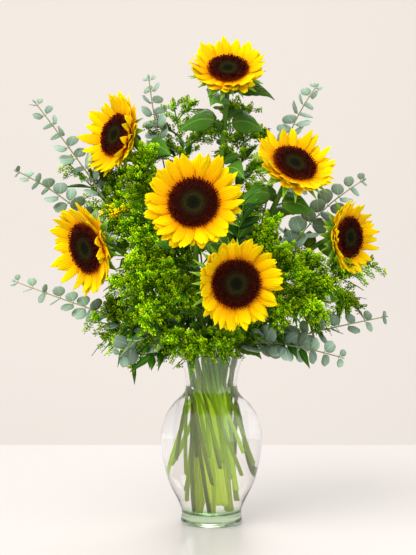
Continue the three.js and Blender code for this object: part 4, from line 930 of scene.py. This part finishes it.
def grow_petals(flower, order):
    axes, middle = head_axes(flower)
    face = axes[2]
    draw = draw_for("petals", order)
    radius = flower.disc / 2
    outer = PETAL.outer * radius
    width = PETAL.width * flower.head / PETAL.head
    curled_side, most, power = flower.curl
    petals = Bunch()
    for row, (count, depth, lift) in enumerate(PETAL_ROWS):
        for i in range(count):
            turn = 2 * pi * (i + 0.5 * (row % 2) + sway(draw, PETAL.uneven)) / count
            curl = most * max(0, cos(turn - radians(curled_side))) ** power
            if flower.name in TIDY_HEADS:
                curl *= TIDY.back_curl if row else TIDY.front_curl
            out, side = spoke(axes, turn)
            longest = (flower.head / 2 - outer) * (1 - PETAL.curled * curl)
            reach = longest * ranged(draw, *PETAL.lengths) * (1.01 - 0.01 * row)
            rise = lift + flower.cup + curl + 2 * PETAL.spread * (draw() - 0.3)
            root = middle + out * (outer - PETAL.rooted) + face * depth
            shape = SHAPES["petal" if draw() < PETAL.whole else "notched_petal"]
            petals.blade(shape, root, out, side, width * ranged(draw, *PETAL.widths), reach + PETAL.rooted,
                         bend=face * rise + side * sway(draw, PETAL.sway), power=PETAL.power,
                         cup=ranged(draw, *PETAL.cups), twist=sway(draw, PETAL.twist), ruffle=PETAL.ruffle,
                         tint=draw())
    inner = RING.inner * radius
    petals.lathe([(inner, RING.front), (outer, RING.front), (outer, RING.back), (inner, RING.back),
                  (inner, RING.front)], middle, axes, RING.sides)
    name = f"sunflower_{flower.name}_petals"
    petals.finish(f"{name}_fine", name, "petal", "petal")


def grow_disc(flower, order):
    """A low dome packed with florets on a spiral: short buds in the middle, open ragged ones at the rim."""
    axes, middle = head_axes(flower)
    face = axes[2]
    draw = draw_for("disc", order)
    radius = flower.disc / 2
    florets = Bunch()
    dome = [(share * radius, height) for share, height in DOME]
    florets.lathe(dome, middle, axes, 32, tint=0.3, rim=radius)
    for i in range(DISC_FLORETS):
        share = sqrt((i + 0.5) / DISC_FLORETS)
        out, _ = spoke(axes, i * GOLDEN_ANGLE)
        height = float(np.interp(share, *FLORET_RISE))
        tall = float(np.interp(share, *FLORET_LENGTH)) * ranged(draw, *FLORET.heights)
        wide = (0.95 + 0.75 * share) * ranged(draw, *FLORET.widths)
        lean = unit(face + out * (0.12 + 0.8 * share ** 3) + 0.3 * (draw() - 0.5) * axes[0])
        spot = middle + out * share * FLORET.out * radius + face * (height - FLORET.sunk)
        florets.lump(SHAPES["floret" if share > FLORET.open_from else "bud"], spot, lean, (wide, wide, tall),
                     tint=draw(), uv=(0.5, share))
    name = f"sunflower_{flower.name}_disc"
    florets.finish(f"{name}_florets", name, "disc", "disc")


def grow_calyx(flower, order):
    axes, middle = head_axes(flower)
    face = axes[2]
    draw = draw_for("calyx", order)
    outer = CALYX_OUTER * flower.disc / 2
    green = Bunch()
    cup = [(share * outer, place) for share, place in CALYX]
    green.lathe([*cup, (6, -18), (THICK_STEM, CALYX_BACK), (0, CALYX_BACK)], middle, axes, 32)
    for i in range(BRACT.count):
        row = i % 2
        out, side = spoke(axes, 2 * pi * (i + sway(draw, 0.5)) / BRACT.count)
        reach = BRACT.reach * flower.head * ranged(draw, *BRACT.lengths)
        reach *= TIDY.bract if flower.name in TIDY_HEADS else 1
        lift = -(BRACT.lift + BRACT.row_lift * row) / reach
        root = middle + out * (outer - BRACT.rooted) + face * (BRACT.back - BRACT.row_back * row)
        green.blade(SHAPES["bract"], root, out, side, BRACT.width * ranged(draw, *BRACT.widths),
                    reach + BRACT.rooted, bend=face * lift + side * sway(draw, BRACT.sway),
                    power=BRACT.power, cup=BRACT.cup, twist=sway(draw, BRACT.twist), tint=draw())
    green.finish(f"sunflower_{flower.name}_calyx", f"sunflower_{flower.name}_stem", "stem", "bract")


def add_leaf(bunch, leaf, root, heading, side, width, length, draw):
    """A leaf that droops, cups, twists and ruffles as its table says."""
    bunch.blade(SHAPES[leaf.shape], root, heading, side, width, length, bend=-UP * leaf.droop, cup=leaf.cup,
                twist=sway(draw, leaf.twist), ruffle=leaf.ruffle, tint=draw())


def grow_flower_stem(stem):
    draw = draw_for("flower_stem", stem.order)
    node = f"{stem.name}_stem"
    stalk, leaves = Bunch(), Bunch()
    points = whole_line(stem)
    radii = np.linspace(THICK_STEM, STEM_TAPER * THICK_STEM, len(points))
    stalk.tube(points, radii, 14, tint=draw(), cut=1.1)
    stalk.finish(f"{stem.name}_stalk", node, "stem", "flower_green")
    grow_calyx(stem.plan, stem.order)
    leaf, small = BROAD_LEAF, SMALL_LEAF
    for share, turn, length, width in stem.plan.leaves:
        point, _ = on_route(stem, share)
        angle = radians(turn)
        heading = unit((cos(angle), sin(angle), leaf.rise))
        root = point + heading * leaf.stalk
        leaves.tube([point, (point + root) / 2, root + heading], leaf.stalk_radii, 8)
        add_leaf(leaves, leaf, root, heading, lit_side(heading, leaf.most_roll), width * leaf.fuller,
                 length - leaf.stalk + leaf.overlap, draw)
    for n in range(small.count):
        point, tangent = on_route(stem, small.first + small.span * n / small.count)
        if point[2] > RIM_HEIGHT + small.above_rim:
            heading = unit(out_from(tangent, n * GOLDEN_ANGLE) + small.along * tangent)
            add_leaf(leaves, small, point + small.gap * heading, heading, lit_side(heading, leaf.most_roll),
                     ranged(draw, *small.widths), ranged(draw, *small.lengths), draw)
    leaves.finish(f"{stem.name}_leaves", node, "stem", "broad")


# ---- Eucalyptus, goldenrod and leafy stems ----

EUCALYPTUS_LEAF = Values(lowest=20, highest=8, sizes=(0.9, 0.2), stalk=4, stalk_radii=[0.6, 0.5, 0.45],
                         rise=0.55, turn=0.5, roll=0.5, most_roll=1, droop=0.1, ruffle=0.3, fuller=1.04,
                         between=0.92)
NARROW_LEAF = Values(shape="narrow", width=13, of=44, sizes=(0.8, 0.35), rise=1.1, turn=0.6, roll=0,
                     droop=0.2, most_roll=0.6, cup=-0.06, twist=0.6, ruffle=0.5, between=0.85)
LARGE_LEAVED = {"i": 1.4, "f": 1.2, "h": 1.2}        # eucalyptus with larger leaves
# Twigs of buds round the end of a goldenrod stem, a few at each of so many places, and on a side plume.
TWIG = Values(count=6, lowest=38, highest=18, lengths=(0.85, 0.3), rise=0.9, turn=0.4, droops=(0.25, 0.3),
              apart=2.2, shorter=0.15)
SPRIG_ON_TWIG = Values(step=3.2, uneven=0.8, size=10.5, taper=3, sizes=(0.75, 0.5), along=0.9, up=0.5,
                       opened=0.3, tones=0.44)
SIDE_PLUME = Values(lean=0.6, lowest=0.16, droop=0.12, step=4.2, least=5, first=0.2, span=0.74, twig=25,
                    taper=13, lengths=(0.75, 0.4), twig_droop=0.25, branch_from=0.6)
PLUME_LEAF = Values(width=6.4, lengths=(20, 12), droop=0.3)
LOW_PLUMES = Values(count=6, first=0.34, span=0.1, lengths=(42, 14), along=0.6, down=0.2)
STEM_LEAF = Values(shape="narrow", count=18, first=0.2, span=0.7, above_rim=14, turn=1.53, width=8,
                   lengths=(34, 14), droop=0.25, cup=-0.06, twist=0.6, ruffle=0)
THINNER = {"a": 0.7, "b": 0.6, "c": 0.8, "i": 0.6}   # share of the usual twigs, on the stems with fewer
THIN_PLUMES = {("e", 2): 0.35, ("g", 3): 0.3}        # the same, for plumes in front of eucalyptus
OPEN_PLUMES = {("a", 0), ("f", 1)}                   # side plumes with some open buds


def finish_stalk(stem, bunch, slot, skin):
    """The stem itself, joined by what hangs on the bunch already. It is thicker in the water."""
    points = whole_line(stem)
    radii = np.linspace(THIN_STEM, 0.5 * THIN_STEM, len(points))
    radii[:2] = 1.6 * THIN_STEM, 1.3 * THIN_STEM
    bunch.tube(points, radii, 8, tint=draw_for("stalk", stem.order)(), cut=1.0)
    bunch.finish(f"{stem.name}_stalk", stem.name, slot, skin)


def leaf_spots(stem, leaf, typical, is_paired, draw):
    """Leaves in pairs where the solid stem has them, and on its other faces smaller ones between the pairs:
    place along the stem, face, size, turn and roll. Typical gives a size by the height among the leaves."""
    pairs = round(stem.plan.leafy / PAIR_STEP[stem.kind])
    step = stem.plan.leafy / stem.length / pairs
    for i in range(pairs + 1):
        share = LAST_PAIR - step * (pairs - i)
        for face in range(4):
            size = typical(i / pairs) * ranged(draw, *leaf.sizes)
            turn = sway(draw, leaf.turn)
            roll = sway(draw, leaf.roll) if leaf.roll else 0
            if is_paired(i, face):
                yield share, face, size, turn, roll
            elif i < pairs:
                yield share + step / 2, face, leaf.between * size, 2 * turn, 2 * roll


def leaf_way(tangent, face, leaf, turn, roll):
    """Heading and side of a leaf on one of a stem's four faces: out and up the stem, turned to the light."""
    right = np.array([1.0, 0, 0]) if abs(tangent[0]) < 0.9 else np.array([0, 1.0, 0])
    right = unit(right - tangent * (right @ tangent))
    other = np.cross(tangent, right)
    angle = pi / 2 * (face + 0.5)
    out = right * cos(angle) + other * sin(angle)
    edge = np.cross(tangent, out)
    heading = unit(out * cos(turn) + edge * sin(turn) + tangent * leaf.rise)
    flat = unit(edge - heading * (edge @ heading))
    return heading, turned_about(flat, heading, roll_to_light(flat, heading, leaf.most_roll) + roll)


def grow_eucalyptus(stem):
    draw = draw_for("eucalyptus", stem.order)
    finer = draw_for("finer_eucalyptus", stem.order)
    twigs, leaves = Bunch(), Bunch()
    leaf = EUCALYPTUS_LEAF
    fuller = LARGE_LEAVED.get(stem.plan.name, leaf.fuller)
    spots = leaf_spots(stem, leaf, lambda level: leaf.lowest + (leaf.highest - leaf.lowest) * level ** 2,
                       lambda pair, face: face % 2 == pair % 2, draw)
    for share, face, size, turn, roll in spots:
        point, tangent = on_route(stem, share)
        heading, side = leaf_way(tangent, face, leaf, turn, roll)
        root = point + heading * leaf.stalk
        twigs.tube([point, (point + root) / 2, root + heading], leaf.stalk_radii, 5)
        leaves.blade(SHAPES["round"], root, heading, side, size * fuller, size * fuller,
                     bend=-UP * leaf.droop * finer(), cup=0.1 * (finer() - 0.3), ruffle=leaf.ruffle,
                     tint=finer())
    tip, tangent = on_route(stem, 1)
    leaves.blade(SHAPES["round"], tip - tangent, tangent, leaf_way(tangent, 0, leaf, 0, 0)[1], 4, 6,
                 tint=finer())
    leaves.finish(f"{stem.name}_leaves", stem.name, "eucalyptus", "eucalyptus")
    finish_stalk(stem, twigs, "eucalyptus", "twig")


def grow_twig(spray, start, heading, length, droop, draw):
    """An arching twig with sprigs of buds all round it, smaller towards its tip."""
    sprig = SPRIG_ON_TWIG
    line = arched(start, heading, length, droop, np.linspace(0, 1, 5)[:, None])
    spray.green.tube(line, np.linspace(0.5, 0.25, 5), 3)
    sprigs = max(3, round(length / sprig.step))
    for k in range(sprigs + 1):
        s = min(1, (k + sprig.uneven * draw()) / sprigs)
        out = out_from(heading, draw() * 2 * pi) * (1.1 - s)
        size = (sprig.size - sprig.taper * s) * ranged(draw, *sprig.sizes)
        opened = spray.open and draw() < sprig.opened
        spray.buds.lump(SHAPES["sprig"], arched(start, heading, length, droop, s),
                        unit(out + heading * sprig.along + UP * sprig.up), size,
                        tint=1.0 if opened else spray.tone + sprig.tones * draw())


def grow_side_plume(spray, start, heading, length, draw, branches=True):
    """A side plume: short twigs round an arching line, longest low down, small leaves among them, a few
    plumes of its own, and a last twig at its tip."""
    plume, leaf = SIDE_PLUME, PLUME_LEAF
    line = arched(start, heading, length, plume.droop, np.linspace(0, 1, 6)[:, None])
    spray.green.tube(line, np.linspace(0.9, 0.35, 6), 4)
    spray.tone = 0.5 * draw() ** 1.3
    twigs = max(plume.least, round(length * spray.full / plume.step))
    for i in range(twigs):
        s = plume.first + plume.span * (i + 0.5) / twigs
        foot = arched(start, heading, length, plume.droop, s)
        along = unit(out_from(heading, i * GOLDEN_ANGLE + 0.5 * draw()) + heading * ranged(draw, 0.7, 0.5))
        longest = plume.twig - plume.taper * s
        grow_twig(spray, foot, along, longest * ranged(draw, *plume.lengths), plume.twig_droop, draw)
        if i % 2 == 0:
            way = unit(along + UP * 0.3)
            spray.leaves.blade(SHAPES["small"], foot, way, unit(np.cross(way, UP) + 1e-6), leaf.width,
                               ranged(draw, *leaf.lengths), bend=-UP * leaf.droop, tint=draw())
        if branches and i % 5 == 2 and spray.full > plume.branch_from:
            grow_side_plume(spray, foot, unit(along + 0.5 * heading), 0.5 * length * (1.1 - s), draw, False)
    foot = arched(start, heading, length, plume.droop, 0.8)
    grow_twig(spray, foot, unit(heading - UP * 2 * plume.droop), 0.2 * length, 0.1, draw)


def grow_goldenrod(stem):
    draw = draw_for("goldenrod", stem.order)
    finer = draw_for("finer_goldenrod", stem.order)
    name, twig, low, leaf = stem.plan.name, TWIG, LOW_PLUMES, STEM_LEAF
    full = THINNER.get(name, 1)
    spray = Values(green=Bunch(), buds=Bunch(), leaves=Bunch(), open=False, tone=0.3, full=full)
    leafy = stem.plan.leafy / stem.length
    for i in range(twig.count):
        level = (i + 0.5) / twig.count
        typical = twig.lowest + (twig.highest - twig.lowest) * level
        turn = i * GOLDEN_ANGLE + sway(draw, twig.turn)
        length = typical * ranged(draw, *twig.lengths)
        droop = ranged(draw, *twig.droops)
        for k in range(3 if full == 1 else 2):
            point, tangent = on_route(stem, 1 - leafy * (1 - level - (k / 3 - 0.25) / twig.count))
            heading = unit(out_from(tangent, turn + twig.apart * k) + tangent * twig.rise)
            grow_twig(spray, point, heading, length * (1 - twig.shorter * k), droop, finer)
    tip, tangent = on_route(stem, 1)
    grow_twig(spray, tip - tangent * 10, tangent, 12, 0.1, finer)
    for n, spot in enumerate(stem.plan.extra):
        gaps = np.linalg.norm(stem.points - spot, axis=1)
        share = gaps.argmin() / ROUTE_STEPS - SIDE_PLUME.lean * gaps.min() / stem.length
        point, _ = on_route(stem, max(share, SIDE_PLUME.lowest))
        reach = spot - point
        length = np.linalg.norm(reach)
        spray.open = (name, n) in OPEN_PLUMES
        spray.full = THIN_PLUMES.get((name, n), full)
        grow_side_plume(spray, point, unit(reach + UP * SIDE_PLUME.droop * length), length, finer)
    spray.open, spray.full = False, full
    for n in range(round(low.count * full)):
        point, tangent = on_route(stem, low.first + low.span * n / full)
        out = unit(out_from(tangent, n * GOLDEN_ANGLE + stem.order) - UP * low.down)
        length = ranged(finer, *low.lengths)
        grow_side_plume(spray, point, unit(out + low.along * tangent), length, finer, False)
    for n in range(leaf.count):
        point, tangent = on_route(stem, leaf.first + leaf.span * n / leaf.count)
        if point[2] > RIM_HEIGHT + leaf.above_rim:
            heading, side = leaf_way(tangent, n * leaf.turn, NARROW_LEAF, 0, sway(finer, 1))
            long = ranged(finer, *leaf.lengths)
            add_leaf(spray.leaves, leaf, point, heading, side, leaf.width, long, finer)
    spray.leaves.finish(f"{stem.name}_leaves", stem.name, "goldenrod", "narrow")
    spray.buds.finish(f"{stem.name}_buds", stem.name, "goldenrod", "bud")
    finish_stalk(stem, spray.green, "goldenrod", "thin_green")


def grow_leafy(stem):
    draw = draw_for("leafy", stem.order)
    finer = draw_for("finer_leafy", stem.order)
    leaf, typical = NARROW_LEAF, stem.plan.extra
    leaves = Bunch()

    def is_paired(pair, face):
        """The solid stem has a leaf on every third face, with one across from it at every second place."""
        first = (pair * 3) % 4
        return face == first or (face == (first + 2) % 4 and pair % 2 == 0)

    for share, face, long, turn, roll in leaf_spots(stem, leaf, lambda level: typical, is_paired, draw):
        point, tangent = on_route(stem, share)
        heading, side = leaf_way(tangent, face, leaf, turn, roll)
        add_leaf(leaves, leaf, point, heading, side, leaf.width * typical / leaf.of, long, finer)
    leaves.finish(f"{stem.name}_leaves", stem.name, "leafy", "narrow")
    finish_stalk(stem, Bunch(), "leafy", "thin_green")


# ---- Stage, light and camera, in metres ----

# Name, size, place, turn, colour and roughness.
PLANES = [("white_stone", (8.0, 2.4), (0, -0.59, 0), 0, "#CECBC9", 0.3),
          ("matt_paint", (8.0, 6.0), (0, 3.2, 1.0), pi / 2, "#F0EAE3", 0.9)]
# Name, place, width, watts and colour.
LAMPS = [("key", (-1.1, -1.5, 2.1), 2.4, 76, "#FFFBF6"),
         ("fill", (1.9, -1.2, 1.0), 2.6, 16, "#FFFFFF"),
         ("back", (0.3, 1.6, 1.9), 1.4, 26, "#FFFFFF")]
LAMPS_AIM = (0, 0, 0.35)
SKY = ("#F1EEEE", 0.86)


def make_stage():
    """A table and a wall behind it."""
    for name, size, at, turn, code, rough in PLANES:
        bpy.ops.object.select_all(action="DESELECT")
        bpy.ops.mesh.primitive_plane_add(size=1, location=at, rotation=(turn, 0, 0))
        plane = bpy.context.object
        plane.name = name
        plane.scale = (*size, 1)
        bpy.ops.object.transform_apply(location=True, rotation=True, scale=True)
        plane.data.materials.append(new_material(name, Base_Color=rgb(code), Roughness=rough)[0])


def make_lights():
    scene = bpy.context.scene
    for name, at, size, power, code in LAMPS:
        light = bpy.data.lights.new(name, "AREA")
        light.shape = "DISK"
        light.size = size
        light.energy = power
        light.color = rgb(code)[:3]
        lamp = bpy.data.objects.new(name, light)
        # The glass would mirror the key lamp as a spot.
        lamp.visible_glossy = lamp.visible_transmission = name != "key"
        lamp.location = at
        x, y, z = np.array(LAMPS_AIM) - np.array(at)
        lamp.rotation_euler = (atan2(hypot(x, y), -z), 0, atan2(y, x) - pi / 2)
        scene.collection.objects.link(lamp)
    scene.world = bpy.data.worlds.new("studio")
    scene.world.use_nodes = True
    sky = scene.world.node_tree.nodes["Background"].inputs
    sky["Color"].default_value, sky["Strength"].default_value = rgb(SKY[0]), SKY[1]
    scene.view_settings.view_transform = "Standard"


def make_camera():
    data = bpy.data.cameras.new("camera")
    data.sensor_width = SENSOR_MM
    data.lens = FOCAL_PIXELS * SENSOR_MM / IMAGE_HEIGHT
    camera = bpy.data.objects.new("camera", data)
    camera.location = (CAMERA_ASIDE, -CAMERA_DISTANCE, CAMERA_HEIGHT)
    camera.rotation_euler = (pi / 2 - atan(HORIZON_ABOVE_MIDDLE / FOCAL_PIXELS), 0, 0)
    bpy.context.scene.collection.objects.link(camera)
    bpy.context.scene.camera = camera


# ---- The whole ----

make_camera()
make_stage()
make_lights()
MATERIALS = make_materials()
SHAPES = make_shapes()
make_vase()
GROW = {"eucalyptus": grow_eucalyptus, "goldenrod": grow_goldenrod, "leafy": grow_leafy}
for stem in make_stems():
    if stem.kind == "sunflower":
        grow_petals(stem.plan, stem.order)
        grow_disc(stem.plan, stem.order)
        grow_flower_stem(stem)
    else:
        GROW[stem.kind](stem)
